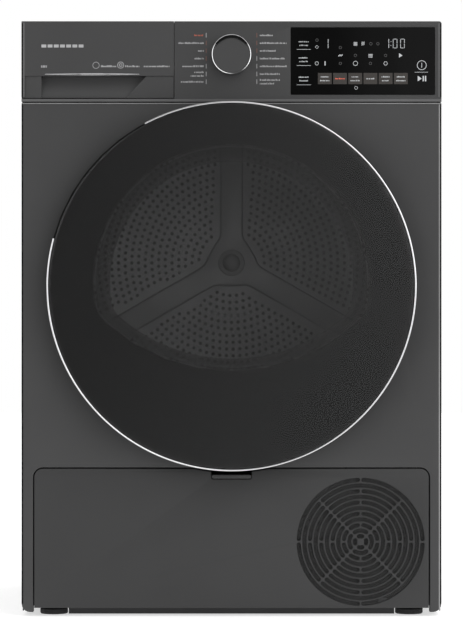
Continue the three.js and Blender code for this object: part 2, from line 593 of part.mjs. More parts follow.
function addFans(wall) {
  const [front, back] = [206, 279];
  const volute = (inset) => join(
    turnedY(rod(84 - inset, front + inset, back), MOTOR_X, MOTOR_Z, 32),
    box(DUCT.x0 + inset, MOTOR_X, front + inset, back, DUCT.z0 + inset, DUCT.z1 - 10 - inset));
  add("fan_housing", cut(
    volute(0),
    volute(wall).translate(0, 2 * wall, 0),
    volute(wall),
    box(DUCT.x0 + 10, DUCT.x1 - 10, front - 1, front + 8, DUCT.z0 + 10, DUCT.z1 - 20),
    turnedY(rod(11, front - 1, front + 8), MOTOR_X, MOTOR_Z, 20)), GREY_PLASTIC);

  const blades = 10;
  const hub = turnedY(ring(8.4, 20, 216, 256), MOTOR_X, MOTOR_Z, 20);
  const disk = turnedY(ring(19, 70, 252, 256), MOTOR_X, MOTOR_Z, 32);
  const vanes = Array.from({ length: blades }, (_, i) => box(18, 68, 222, 253, -1.5, 1.5)
    .rotateY((i * 2 * Math.PI) / blades).translate(MOTOR_X, 0, MOTOR_Z));
  add("process_fan", join(hub, disk, ...vanes), GREY_PLASTIC);

  const side = 72;
  const frame = roundedRect(GRILLE.x - side, GRILLE.x + side, GRILLE.z - side, GRILLE.z + side, 8);
  frame.holes.push(disc(GRILLE.x, GRILLE.z, 66, 32));
  const [near, far] = [-252, -226];
  const struts = [0, Math.PI / 2].map((angle) => box(-67, 67, far - 4, far, -4, 4)
    .rotateY(angle).translate(GRILLE.x, 0, GRILLE.z));
  const axleHole = turnedY(rod(4.5, far - 5, far + 1), GRILLE.x, GRILLE.z, 12);
  add("cooling_fan_frame", cut(join(facing(frame, near, far, 3), ...struts), axleHole), DARK_PLASTIC);
  const rotorHub = turnedY([[0, near + 2], [22, near + 2], [22, far - 6], [4, far - 6], [4, far], [0, far]],
    GRILLE.x, GRILLE.z, 20);
  const rotorBlades = Array.from({ length: 7 }, (_, i) => box(20, 62, near + 10, near + 12, -14, 14)
    .rotateX(0.45).translate(0, (near + 11) * (1 - Math.cos(0.45)), -(near + 11) * Math.sin(0.45))
    .rotateY((i * 2 * Math.PI) / 7).translate(GRILLE.x, 0, GRILLE.z));
  add("cooling_fan_rotor", join(rotorHub, ...rotorBlades), DARK_PLASTIC);
}

// ---- heat pump ----
function addHeatPump() {
  const [x, y] = [190, -80];
  const can = turnedZ([[0, 30], [44, 30], [54, 40], [54, 160], [44, 174], [0, 176]], x, y, 28);
  const legs = [0, 1, 2].map((i) => box(0, 66, -9, 9, 17 + GAP, 34)
    .rotateZ((i * 2 * Math.PI) / 3).translate(x, y, 0));
  add("compressor", join(can, ...legs), DARK_PLASTIC);
  const route = new THREE.CatmullRomCurve3([
    [131, -80, 150], [108, -80, 178], [40, -70, 190], [-20, -50, 180], [-50, -45, 150], [-60, -45, 120]]
    .map(([px, py, pz]) => new THREE.Vector3(px, py, pz)));
  const section = polygon(circlePoints(0, 0, 4, 8));
  add("refrigerant_pipe", new THREE.ExtrudeGeometry(section, { steps: 20, extrudePath: route }), COPPER);
  const pump = join(
    box(210, 270, 130, 200, 17 + GAP, 70),
    turnedZ(rod(22, 69, 92), 240, 165, 20),
    turnedZ(rod(6, 91, 108), 240, 165, 12));
  add("condensate_pump", pump, DARK_PLASTIC);
}

// ---- door ----
const POCKET = { x0: 223, z0: 438, z1: 500, y0: -295.5 };
const GRIP_FROM = (118 * Math.PI) / 180;
const GRIP_TO = (165 * Math.PI) / 180;

function addDoor() {
  const rear = -266.5;
  const pane = [
    [0, DOOR_Y], [250, DOOR_Y + 1], [257.8, DOOR_Y + 2.4], [257.8, DOOR_Y + 4], [0, DOOR_Y + 4]];
  add("door_glass", turnedY(pane, 0, DOOR_Z, 48), BLACK_GLASS);
  const trim = ringSector(0, DOOR_Z, 259, DOOR_R, GRIP_TO, GRIP_FROM + 2 * Math.PI, 42);
  add("door_trim", facing(trim, DOOR_Y + 1, DOOR_Y + 7.5), CHROME);

  const tapered = turnedY([[0, DOOR_Y + 7.8], [260.6, DOOR_Y + 7.8], [256.5, rear], [0, rear]], 0, DOOR_Z, 48);
  const lip = turnedY(rod(257.6, DOOR_Y + 4.3, DOOR_Y + 8), 0, DOOR_Z, 48);
  const bowlHole = facing(polygon(portOutline(195.6, 349.6)), DOOR_Y, rear + 1);
  const pocket = box(POCKET.x0, 270, POCKET.y0, rear + 1, POCKET.z0, POCKET.z1);
  const pinHole = turnedZ(rod(4.3, POCKET.z0 - 6, POCKET.z1 + 6), PIN_X, PIN_Y, 16);
  const grip = facing(
    ringSector(0, DOOR_Z, 243, 270, GRIP_FROM + 0.05, GRIP_TO - 0.05, 8), DOOR_Y + 14.5, rear + 1);
  add("door_frame", cut(join(tapered, lip), bowlHole, pocket, pinHole, grip), DARK_PLASTIC);

  const rim = portOutline(195, 350.2);
  const rimInner = portOutline(191, 354.2);
  const floor = portOutline(174, 365);
  const floorInner = portOutline(170, 369);
  const bowlBack = -226;
  add("door_bowl", loft([atY(floorInner, bowlBack - 4), atY(rimInner, DOOR_Y + 6),
    atY(rim, DOOR_Y + 6), atY(rim, -262), atY(floor, bowlBack)]), finish(0x3a3d40, 0.1, 0));

  add("door_hinge_pin", turnedZ(rod(4, POCKET.z0 - 5, POCKET.z1 + 5), PIN_X, PIN_Y, 16), STEEL);
  const striker = join(
    box(-231, -223, rear + GAP, rear + 12, 465, 473),
    box(-231, -223, rear + 9, rear + 14, 463.5, 474.5));
  add("door_striker", striker, STEEL);
}

function addHingeBracket() {
  const eye = 7.5;
  const web = polygon([
    [PIN_X - 4, PIN_Y - 3], [PIN_X - 4, PIN_Y + 3], [233, PIN_Y + 3], [233, -258], [227, -258],
    [227, PIN_Y - 3]]);
  const bore = turnedZ(rod(4.4, 430, 510), PIN_X, PIN_Y, 16);
  const arms = [442, 486].map((z) => cut(
    join(turnedZ(rod(eye, z, z + 10), PIN_X, PIN_Y, 20), upright(web, z, z + 10)), bore));
  const leaf = box(214, 244, -261.7, -257.5, 424, 514);
  add("hinge_bracket", join(leaf, ...arms), STEEL);
}

function addLatch() {
  add("door_latch", cut(
    box(-249, -213, FRONT_Y + SHEET + GAP, -238, 449, 489),
    box(LATCH.x0 - 1, LATCH.x1 + 1, FRONT_Y, -246, LATCH.z0 - 1, LATCH.z1 + 1)), DARK_PLASTIC);
}

// ---- service flap ----
const BUTTON = { half: 28, z0: 195.8, z1: 201.4 };

function addFlap() {
  const back = FRONT_Y + 5;
  const notchR = DOOR_R + 3.4;
  const panel = facing(
    roundedRect(-FLAP_HALF, FLAP_HALF, FLAP_BOTTOM_Z, FLAP_TOP_Z, 3, 12), FRONT_Y, back, 4);
  const knuckle = new THREE.Shape();
  knuckle.absarc(FLAP_AXIS.y, FLAP_AXIS.z, 6.5, -Math.PI / 2, Math.PI / 2);
  knuckle.lineTo(back - 1, FLAP_AXIS.z + 6.5);
  knuckle.lineTo(back - 1, FLAP_AXIS.z - 6.5);
  const knuckles = [-221, 209].map((x) => sideways(knuckle, x, x + 12, 8));
  const pins = [[-231, -215], [215, 231]].map(([x0, x1]) => sideways(
    polygon(circlePoints(FLAP_AXIS.y, FLAP_AXIS.z, 3, 12)), x0, x1));
  const slots = [22, 42, 62, 82].flatMap((radius) => [0, 1, 2, 3].map((quarter) => {
    const middle = (quarter * Math.PI) / 2;
    const half = Math.PI / 4 - 3 / radius;
    const slot = ringSector(GRILLE.x, GRILLE.z, radius - 5, radius + 5, middle - half, middle + half, 5);
    return facing(slot, FRONT_Y - 1, back + 1);
  }));
  const room = BUTTON.half + 0.7;
  const window = facing(
    roundedRect(-room, room, BUTTON.z0 - 0.7, FLAP_TOP_Z + 9, 3, 0), FRONT_Y - 1, back + 1, 3);
  add("flap_panel", cut(
    join(panel, ...knuckles, ...pins),
    facing(disc(0, DOOR_Z, notchR, 96), FRONT_Y - 1, back + 1),
    window,
    ...slots), CABINET);
  const button = roundedRect(-BUTTON.half, BUTTON.half, BUTTON.z0, BUTTON.z1, 2.5);
  add("flap_release", facing(button, FRONT_Y + 0.2, back + 4, 3), CABINET);
}

// ---- assembly ----
addFeet();
addBase();
addSidePanels();
addFrontPanel();
addTopCover();
addRearPanel();
addRearDuctCover();
addCordGland();
addControlPanel();
addKnob();
addTankDrawer();
addBulkhead();
addDrum();
addDrive();
addAirPath();
addHeatPump();
addDoor();
addHingeBracket();
addLatch();
addFlap();

export default group;
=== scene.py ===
"""Looks of the clothes dryer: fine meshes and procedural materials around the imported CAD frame."""
import json
import math
import random

import bmesh
import bpy
from mathutils import Matrix, Vector

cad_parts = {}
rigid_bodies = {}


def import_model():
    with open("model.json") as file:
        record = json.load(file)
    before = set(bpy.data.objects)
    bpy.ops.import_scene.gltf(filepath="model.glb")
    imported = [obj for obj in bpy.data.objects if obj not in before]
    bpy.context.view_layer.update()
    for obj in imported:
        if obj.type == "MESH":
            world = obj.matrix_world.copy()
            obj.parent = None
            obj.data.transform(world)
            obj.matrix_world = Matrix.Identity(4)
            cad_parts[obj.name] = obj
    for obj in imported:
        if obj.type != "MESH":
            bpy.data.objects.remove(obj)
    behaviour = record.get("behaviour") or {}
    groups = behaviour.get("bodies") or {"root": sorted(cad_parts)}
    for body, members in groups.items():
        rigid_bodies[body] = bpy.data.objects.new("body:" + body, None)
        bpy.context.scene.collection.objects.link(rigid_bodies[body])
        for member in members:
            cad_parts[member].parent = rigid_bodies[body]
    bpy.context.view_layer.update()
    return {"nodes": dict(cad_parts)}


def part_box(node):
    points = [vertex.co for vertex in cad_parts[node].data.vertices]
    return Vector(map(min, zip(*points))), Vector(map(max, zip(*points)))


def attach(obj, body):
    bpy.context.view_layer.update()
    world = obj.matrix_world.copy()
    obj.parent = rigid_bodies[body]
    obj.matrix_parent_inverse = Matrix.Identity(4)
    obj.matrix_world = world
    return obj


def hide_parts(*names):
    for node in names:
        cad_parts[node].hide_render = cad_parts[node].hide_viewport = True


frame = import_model()
NODES = frame["nodes"]
MM = 0.001
RNG = random.Random(7)

# ---- places taken from the frame ----
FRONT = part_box("front_panel")
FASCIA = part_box("control_panel")
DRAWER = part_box("drawer_front")
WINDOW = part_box("display_window")
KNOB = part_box("knob_ring")
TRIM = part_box("door_trim")
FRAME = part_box("door_frame")
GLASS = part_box("door_glass")
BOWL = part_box("door_bowl")
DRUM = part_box("drum_shell")
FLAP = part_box("flap_panel")
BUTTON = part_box("flap_release")
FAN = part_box("cooling_fan_rotor")
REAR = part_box("rear_panel")
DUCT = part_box("rear_duct_cover")
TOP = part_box("top_cover")
HALF_W = FRONT[1][0]
FRONT_Y = FRONT[0][1]
DOOR_Z = (GLASS[0][2] + GLASS[1][2]) / 2
DOOR_R = TRIM[1][0]
GLASS_R = GLASS[1][0]
KNOB_Z = (KNOB[0][2] + KNOB[1][2]) / 2
DRUM_R = DRUM[1][0]
DRUM_Z = (DRUM[0][2] + DRUM[1][2]) / 2
FAN_X = (FAN[0][0] + FAN[1][0]) / 2
FAN_Z = (FAN[0][2] + FAN[1][2]) / 2
PORT_Z = 474 * MM


# ---- materials ----
def new_material(name, color, roughness, metallic=0.0):
    mat = bpy.data.materials.new(name)
    mat.use_nodes = True
    shader = mat.node_tree.nodes["Principled BSDF"]
    shader.inputs["Base Color"].default_value = (*color, 1)
    shader.inputs["Roughness"].default_value = roughness
    shader.inputs["Metallic"].default_value = metallic
    return mat, shader


def noise(mat, scale, detail=3.0, stretch=None):
    nodes, links = mat.node_tree.nodes, mat.node_tree.links
    coords = nodes.new("ShaderNodeTexCoord")
    texture = nodes.new("ShaderNodeTexNoise")
    texture.inputs["Scale"].default_value = scale
    texture.inputs["Detail"].default_value = detail
    if stretch:
        mapping = nodes.new("ShaderNodeMapping")
        mapping.inputs["Scale"].default_value = stretch
        links.new(coords.outputs["Object"], mapping.inputs["Vector"])
        links.new(mapping.outputs["Vector"], texture.inputs["Vector"])
    else:
        links.new(coords.outputs["Object"], texture.inputs["Vector"])
    return texture.outputs["Fac"]


def vary_color(mat, shader, source, low, high):
    ramp = mat.node_tree.nodes.new("ShaderNodeValToRGB")
    ramp.color_ramp.elements[0].position = 0.3
    ramp.color_ramp.elements[1].position = 0.7
    ramp.color_ramp.elements[0].color = (*low, 1)
    ramp.color_ramp.elements[1].color = (*high, 1)
    mat.node_tree.links.new(source, ramp.inputs["Fac"])
    mat.node_tree.links.new(ramp.outputs["Color"], shader.inputs["Base Color"])


def vary_roughness(mat, shader, source, low, high):
    span = mat.node_tree.nodes.new("ShaderNodeMapRange")
    span.inputs["From Min"].default_value = 0.3
    span.inputs["From Max"].default_value = 0.7
    span.inputs["To Min"].default_value = low
    span.inputs["To Max"].default_value = high
    mat.node_tree.links.new(source, span.inputs["Value"])
    mat.node_tree.links.new(span.outputs["Result"], shader.inputs["Roughness"])


def bump(mat, shader, source, strength, depth):
    node = mat.node_tree.nodes.new("ShaderNodeBump")
    node.inputs["Strength"].default_value = strength
    node.inputs["Distance"].default_value = depth
    mat.node_tree.links.new(source, node.inputs["Height"])
    mat.node_tree.links.new(node.outputs["Normal"], shader.inputs["Normal"])


def surface(name, color, roughness, metallic=0.0, grain=800, depth=0.00005, spread=0.12, stretch=None, wear=0.05):
    """A material with a fine grain, slow colour drift and worn patches in its gloss."""
    mat, shader = new_material(name, color, roughness, metallic)
    low = tuple(c * (1 - spread) for c in color)
    high = tuple(min(1.0, c * (1 + spread)) for c in color)
    vary_color(mat, shader, noise(mat, 9, 5), low, high)
    vary_roughness(mat, shader, noise(mat, 22, 6), max(0.02, roughness - wear), roughness + wear)
    bump(mat, shader, noise(mat, grain, 4, stretch), 0.35, depth)
    return mat


def galvanised():
    mat = surface("galvanised_sheet", (0.33, 0.345, 0.355), 0.42, 0.85, grain=300)
    shader = mat.node_tree.nodes["Principled BSDF"]
    coords = mat.node_tree.nodes.new("ShaderNodeTexCoord")
    cells = mat.node_tree.nodes.new("ShaderNodeTexVoronoi")
    cells.inputs["Scale"].default_value = 70
    mat.node_tree.links.new(coords.outputs["Object"], cells.inputs["Vector"])
    vary_roughness(mat, shader, cells.outputs["Color"], 0.3, 0.55)
    return mat


def clear_plastic(name, color, roughness, face_alpha, edge_alpha, specular=0.5):
    """A see-through sheet: mostly clear face on, and denser at a grazing angle."""
    mat = surface(name, color, roughness, grain=14, depth=0.0, spread=0.05, wear=0.006)
    shader = mat.node_tree.nodes["Principled BSDF"]
    shader.inputs["Specular IOR Level"].default_value = specular
    weight = mat.node_tree.nodes.new("ShaderNodeLayerWeight")
    weight.inputs["Blend"].default_value = 0.35
    span = mat.node_tree.nodes.new("ShaderNodeMapRange")
    span.inputs["To Min"].default_value = face_alpha
    span.inputs["To Max"].default_value = edge_alpha
    mat.node_tree.links.new(weight.outputs["Facing"], span.inputs["Value"])
    mat.node_tree.links.new(span.outputs["Result"], shader.inputs["Alpha"])
    return mat


def dull(mat, specular):
    mat.node_tree.nodes["Principled BSDF"].inputs["Specular IOR Level"].default_value = specular
    return mat


def glow(name, color, strength):
    mat = surface(name, color, 0.4, spread=0.03)
    shader = mat.node_tree.nodes["Principled BSDF"]
    shader.inputs["Emission Color"].default_value = (*color, 1)
    shader.inputs["Emission Strength"].default_value = strength
    return mat


def cabinet_paint(name, tone):
    mat = surface(name, (tone, tone, tone * 1.01), 0.44, 0.0, grain=1900, depth=0.00003, spread=0.04, wear=0.02)
    shader = mat.node_tree.nodes["Principled BSDF"]
    shader.inputs["Specular IOR Level"].default_value = 0.2
    return mat


MATS = {
    "paint": cabinet_paint("anthracite_paint", 0.0505),
    # Painted shade: a darker copy of the cabinet paint for the service flap, toned down to offset the floor light that
    # reaches it.
    "flap_paint_shaded": cabinet_paint("anthracite_paint_shaded_copy", 0.0385),
    "dark": surface("dark_moulding", (0.012, 0.012, 0.013), 0.46, grain=1400, depth=0.00006),
    "grey": surface("grey_moulding", (0.12, 0.125, 0.13), 0.5, grain=1200, depth=0.00006),
    "pale": surface("pale_moulding", (0.30, 0.31, 0.32), 0.45, grain=1200, depth=0.00005),
    "glass": clear_plastic("tinted_door_glass", (0.0025, 0.0025, 0.0025), 0.28, 0.25, 0.6, 1.0),
    # Black for the door's printed border, and also painted shade in the knob's recess.
    "black": dull(surface("black_print_and_painted_shade", (0.0015, 0.0015, 0.0015), 0.5, grain=900, depth=0.00003), 0.12),
    "bowl": clear_plastic("clear_bowl", (0.028, 0.028, 0.028), 0.10, 0.16, 0.95, 0.6),
    "window": dull(surface("black_display_glass", (0.0045, 0.0045, 0.0045), 0.12, grain=30, depth=0.00001, wear=0.03), 0.04),
    "chrome": surface("bright_chrome", (0.80, 0.80, 0.81), 0.10, 1.0, grain=60, depth=0.00001, spread=0.02, wear=0.03),
    "drum_steel": surface("brushed_drum_steel", (0.46, 0.46, 0.465), 0.40, 1.0, grain=240, depth=0.00004, stretch=(1, 14, 1)),
    "steel": surface("turned_steel", (0.55, 0.56, 0.57), 0.28, 1.0, grain=500, stretch=(1, 8, 1)),
    "zinc": galvanised(),
    "rubber": surface("black_rubber", (0.018, 0.018, 0.019), 0.75, grain=900, depth=0.0001),
    # Black of painted shade: it darkens the outer front edges and what shows through the drum's holes.
    "shade_sheet": dull(surface("black_painted_shade", (0.004, 0.004, 0.004), 0.95, grain=1600, depth=0.0003), 0.1),
    "alu": surface("fin_aluminium", (0.62, 0.63, 0.64), 0.38, 0.9, grain=600, stretch=(12, 1, 1)),
    "copper": surface("copper_tube", (0.62, 0.28, 0.13), 0.30, 1.0, grain=300),
    "tank": surface("tank_polymer", (0.42, 0.45, 0.47), 0.34, grain=500),
    "print": surface("printed_marks", (0.36, 0.36, 0.365), 0.5, grain=2500, depth=0.00001),
    # Painted highlight: light strips on the front sheet's top and right edges.
    "edge_light": surface("edge_painted_highlight", (0.26, 0.26, 0.262), 0.4, grain=1900, depth=0.00003),
    # Painted highlight: lighter strips on the fascia's lip and side edges.
    "lip": surface("lip_painted_highlight", (0.085, 0.085, 0.086), 0.42, grain=1900, depth=0.00003),
    # Painted highlight along the bowl's inner edge.
    "glint": surface("bowl_edge_painted_highlight", (0.17, 0.17, 0.17), 0.3, grain=700, depth=0.00003),
    # Painted light: a grey see-through sheet behind the grille slots that stands in for the lit space behind them.
    "slot_light": clear_plastic("grille_backing_painted_light", (0.055, 0.055, 0.055), 0.6, 0.6, 0.9, 0.1),
    "print_dim": surface("printed_dim_accent", (0.17, 0.07, 0.05), 0.5, grain=2500, depth=0.00001),
    "print_warm": surface("printed_accent", (0.42, 0.10, 0.06), 0.5, grain=2500, depth=0.00001),
    "lit": glow("lit_segments", (0.42, 0.43, 0.44), 0.24),
    "lit_dim": glow("dim_segments", (0.05, 0.05, 0.05), 0.1),
    "key": glow("lit_keys", (0.024, 0.020, 0.017), 0.15),
    "key_warm": glow("lit_key_accent", (0.55, 0.10, 0.06), 0.5),
}


# ---- mesh helpers ----
def make_piece(name, mesh, material, body, replaces=(), smooth=35):
    mesh.validate()
    obj = bpy.data.objects.new(name, mesh)
    bpy.context.scene.collection.objects.link(obj)
    mesh.materials.clear()
    mesh.materials.append(MATS[material])
    if smooth:
        mesh.polygons.foreach_set("use_smooth", [True] * len(mesh.polygons))
        mesh.set_sharp_from_angle(angle=math.radians(smooth))
    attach(obj, body)
    if replaces:
        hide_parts(*replaces)
    return obj


def plate_mesh(loops, y0, y1, bevel=0.0, bevel_steps=3):
    """A flat plate of (x, z) loops, the first the outline and the rest holes, with rounded edges."""
    curve = bpy.data.curves.new("plate", "CURVE")
    curve.dimensions = "2D"
    curve.fill_mode = "BOTH"
    curve.bevel_depth = bevel
    curve.bevel_resolution = bevel_steps
    curve.offset = -bevel
    curve.extrude = (y1 - y0) / 2 - bevel
    for loop in loops:
        spline = curve.splines.new("POLY")
        spline.points.add(len(loop) - 1)
        for point, (x, z) in zip(spline.points, loop):
            point.co = (x, z, 0, 1)
        spline.use_cyclic_u = True
    holder = bpy.data.objects.new("plate_holder", curve)
    bpy.context.scene.collection.objects.link(holder)
    evaluated = holder.evaluated_get(bpy.context.evaluated_depsgraph_get())
    mesh = bpy.data.meshes.new_from_object(evaluated)
    bpy.data.objects.remove(holder)
    bpy.data.curves.remove(curve)
    mesh.transform(Matrix.Translation((0, (y0 + y1) / 2, 0)) @ Matrix.Rotation(math.pi / 2, 4, "X"))
    weld(mesh)
    return mesh


def weld(mesh, distance=1e-6):
    work = bmesh.new()
    work.from_mesh(mesh)
    bmesh.ops.remove_doubles(work, verts=work.verts, dist=distance)
    bmesh.ops.recalc_face_normals(work, faces=work.faces)
    work.to_mesh(mesh)
    work.free()


def skin_mesh(rings, around=True, along=False, caps=True):
    """Quads between rows of points; rows close on themselves, and the row of rows may too."""
    count = len(rings[0])
    points = [p for ring in rings for p in ring]
    faces = []
    rows = len(rings)
    for r in range(rows if along else rows - 1):
        for i in range(count if around else count - 1):
            a, b = r * count + i, r * count + (i + 1) % count
            step = ((r + 1) % rows) * count - r * count
            faces.append((a, b, b + step, a + step))
    if caps and not along:
        faces.append(tuple(range(count))[::-1])
        faces.append(tuple(range((rows - 1) * count, rows * count)))
    mesh = bpy.data.meshes.new("skin")
    mesh.from_pydata(points, [], faces)
    weld(mesh)
    return mesh


def turned_mesh(profile, x, z, steps=128):
    """A profile of (radius, y) pairs turned about a Y axis; a profile that leaves the axis open is closed."""
    on_axis = profile[0][0] == 0 and profile[-1][0] == 0
    rings = []
    for i in range(steps):
        a = 2 * math.pi * i / steps
        rings.append([(x + r * math.cos(a), y, z + r * math.sin(a)) for r, y in profile])
    return skin_mesh(rings, around=not on_axis, along=True, caps=False)


def box_mesh(x0, x1, y0, y1, z0, z1, bevel=0.0004):
    work = bmesh.new()
    bmesh.ops.create_cube(work, size=1)
    scale = Matrix.Diagonal((x1 - x0, y1 - y0, z1 - z0, 1))
    middle = Matrix.Translation(((x0 + x1) / 2, (y0 + y1) / 2, (z0 + z1) / 2))
    bmesh.ops.transform(work, matrix=middle @ scale, verts=work.verts)
    if bevel:
        bmesh.ops.bevel(work, geom=work.edges, offset=bevel, segments=2, affect="EDGES", profile=0.5)
    mesh = bpy.data.meshes.new("box")
    work.to_mesh(mesh)
    work.free()
    return mesh


def joined(meshes):
    work = bmesh.new()
    for mesh in meshes:
        work.from_mesh(mesh)
        bpy.data.meshes.remove(mesh)
    result = bpy.data.meshes.new("joined")
    work.to_mesh(result)
    work.free()
    return result


def turned_about_y(mesh, angle, x, z):
    there = Matrix.Translation((x, 0, z))
    mesh.transform(there @ Matrix.Rotation(-angle, 4, "Y"))
    return mesh


# ---- outlines, as (x, z) lists ----
def circle(x, z, r, steps=96, start=0.0, stop=2 * math.pi, closed=True):
    last = steps if closed else steps - 1
    return [(x + r * math.cos(start + (stop - start) * i / last),
             z + r * math.sin(start + (stop - start) * i / last)) for i in range(steps)]


def rounded(x0, x1, z0, z1, r, steps=6, r_top=None):
    r_top = r if r_top is None else r_top
    loop = []
    for cx, cz, rad, start in ((x1 - r, z0 + r, r, -0.5), (x1 - r_top, z1 - r_top, r_top, 0),
                               (x0 + r_top, z1 - r_top, r_top, 0.5), (x0 + r, z0 + r, r, 1)):
        if rad <= 0:
            loop.append((cx, cz))
        else:
            loop += circle(cx, cz, rad, steps, start * math.pi, (start + 0.5) * math.pi, closed=False)
    return loop


def slot_outline(x, z, radius, width, start, stop, steps=14):
    """A ring slot of the grille: two arcs with round ends."""
    half = width / 2
    outer = circle(x, z, radius + half, steps, start, stop, closed=False)
    inner = circle(x, z, radius - half, steps, stop, start, closed=False)
    end = (x + radius * math.cos(stop), z + radius * math.sin(stop))
    begin = (x + radius * math.cos(start), z + radius * math.sin(start))
    cap_end = circle(*end, half, 6, stop, stop + math.pi, closed=False)[1:-1]
    cap_begin = circle(*begin, half, 6, start + math.pi, start + 2 * math.pi, closed=False)[1:-1]
    return outer + cap_end + inner + cap_begin


FLAT_ARC_EXTRA = 70 * MM
PORT_CORNER_TRIM = 140 * MM


def port_outline(radius, bottom_z, count=132):
    """The loading port: a circle about PORT_Z closed below by a flatter arc, with rounded corners."""
    low_r = radius + FLAT_ARC_EXTRA
    rise = bottom_z + low_r - PORT_Z
    corner = radius - PORT_CORNER_TRIM
    far, near = radius - corner, low_r - corner
    up = (far ** 2 - near ** 2 + rise ** 2) / (2 * rise)
    out = math.sqrt(far ** 2 - up ** 2)
    side, foot = math.atan2(up, out), math.atan2(up - rise, out)
    turn = count // 8
    upper = circle(0, PORT_Z, radius, count * 5 // 8, side, math.pi - side, closed=False)
    left = circle(-out, PORT_Z + up, corner, turn, math.pi - side, math.pi - foot, closed=False)
    lower = circle(0, PORT_Z + rise, low_r, count - len(upper) - 2 * turn + 4, math.pi - foot, 2 * math.pi + foot, closed=False)
    right = circle(out, PORT_Z + up, corner, turn, foot, side, closed=False)
    return upper + left[1:-1] + lower + right[1:-1]


# ---- camera, light and floor ----
VIEW_Z = 421.4 * MM
CAMERA_Y = -4.5
SHEET_VIEW_HEIGHT = 909.9 * MM  # what the frame's height covers at the front sheet
SENSOR = 36.0


def add_camera():
    data = bpy.data.cameras.new("camera")
    data.sensor_width = SENSOR
    data.lens = SENSOR * (FRONT_Y - CAMERA_Y) / SHEET_VIEW_HEIGHT
    camera = bpy.data.objects.new("camera", data)
    camera.location = (0, CAMERA_Y, VIEW_Z)
    camera.rotation_euler = (math.pi / 2, 0, 0)
    bpy.context.scene.collection.objects.link(camera)
    bpy.context.scene.camera = camera


def add_world():
    """A plain white studio; a dark flag beside the camera grades what the glass reflects."""
    world = bpy.data.worlds.new("studio")
    bpy.context.scene.world = world
    world.use_nodes = True
    nodes, links = world.node_tree.nodes, world.node_tree.links
    background = nodes["Background"]
    coords = nodes.new("ShaderNodeTexCoord")
    split = nodes.new("ShaderNodeSeparateXYZ")
    links.new(coords.outputs["Generated"], split.inputs["Vector"])
    side = nodes.new("ShaderNodeMapRange")
    side.interpolation_type = "SMOOTHSTEP"
    side.inputs["From Min"].default_value = -0.10
    side.inputs["From Max"].default_value = 0.10
    side.inputs["To Min"].default_value = 0.03
    side.inputs["To Max"].default_value = 1.1
    links.new(split.outputs["X"], side.inputs["Value"])
    beyond = nodes.new("ShaderNodeMapRange")
    beyond.interpolation_type = "SMOOTHSTEP"
    beyond.inputs["From Min"].default_value = -0.24
    beyond.inputs["From Max"].default_value = -0.42
    beyond.inputs["To Max"].default_value = 1.35
    links.new(split.outputs["X"], beyond.inputs["Value"])
    flag = nodes.new("ShaderNodeMath")
    links.new(side.outputs["Result"], flag.inputs[0])
    links.new(beyond.outputs["Result"], flag.inputs[1])
    ahead = nodes.new("ShaderNodeMapRange")
    ahead.interpolation_type = "SMOOTHSTEP"
    ahead.inputs["From Min"].default_value = -0.55
    ahead.inputs["From Max"].default_value = -0.86
    links.new(split.outputs["Y"], ahead.inputs["Value"])
    sides = nodes.new("ShaderNodeMapRange")
    sides.interpolation_type = "SMOOTHSTEP"
    sides.inputs["From Min"].default_value = -0.75
    sides.inputs["From Max"].default_value = 0.65
    sides.inputs["To Min"].default_value = 0.6
    sides.inputs["To Max"].default_value = 1.55
    links.new(split.outputs["X"], sides.inputs["Value"])
    beside = nodes.new("ShaderNodeMapRange")
    beside.interpolation_type = "SMOOTHSTEP"
    beside.inputs["From Min"].default_value = 0.9
    beside.inputs["From Max"].default_value = 0.5
    links.new(split.outputs["Y"], beside.inputs["Value"])
    around = nodes.new("ShaderNodeMix")
    around.inputs["A"].default_value = 1.0
    links.new(beside.outputs["Result"], around.inputs["Factor"])
    links.new(sides.outputs["Result"], around.inputs["B"])
    mix = nodes.new("ShaderNodeMix")
    links.new(around.outputs["Result"], mix.inputs["A"])
    links.new(ahead.outputs["Result"], mix.inputs["Factor"])
    links.new(flag.outputs["Value"], mix.inputs["B"])
    seen = nodes.new("ShaderNodeLightPath")
    plain = nodes.new("ShaderNodeMix")
    plain.inputs["B"].default_value = 1.0
    links.new(seen.outputs["Is Camera Ray"], plain.inputs["Factor"])
    links.new(mix.outputs["Result"], plain.inputs["A"])
    links.new(plain.outputs["Result"], background.inputs["Strength"])
    below = nodes.new("ShaderNodeMapRange")
    below.inputs["From Min"].default_value = -0.12
    below.inputs["From Max"].default_value = -0.45
    below.inputs["To Min"].default_value = 1.0
    below.inputs["To Max"].default_value = 0.4
    links.new(split.outputs["Z"], below.inputs["Value"])
    links.new(below.outputs["Result"], background.inputs["Color"])


def add_light(name, place, target, size, power):
    data = bpy.data.lights.new(name, "AREA")
    data.shape = "RECTANGLE"
    data.size, data.size_y = size
    data.energy = power
    light = bpy.data.objects.new(name, data)
    light.location = place
    light.rotation_euler = (Vector(target) - Vector(place)).to_track_quat("-Z", "Y").to_euler()
    bpy.context.scene.collection.objects.link(light)


def add_floor():
    mesh = bpy.data.meshes.new("floor")
    reach, near = 9.0, -1.3
    mesh.from_pydata([(-reach, near, 0), (reach, near, 0), (reach, reach, 0), (-reach, reach, 0)], [], [(0, 1, 2, 3)])
    floor = bpy.data.objects.new("floor", mesh)
    bpy.context.scene.collection.objects.link(floor)
    mat = surface("pale_floor", (0.60, 0.60, 0.60), 0.9, grain=40, spread=0.004)
    shader = mat.node_tree.nodes["Principled BSDF"]
    shader.inputs["Emission Color"].default_value = (1, 1, 1, 1)
    shader.inputs["Emission Strength"].default_value = 0.60
    mesh.materials.append(mat)


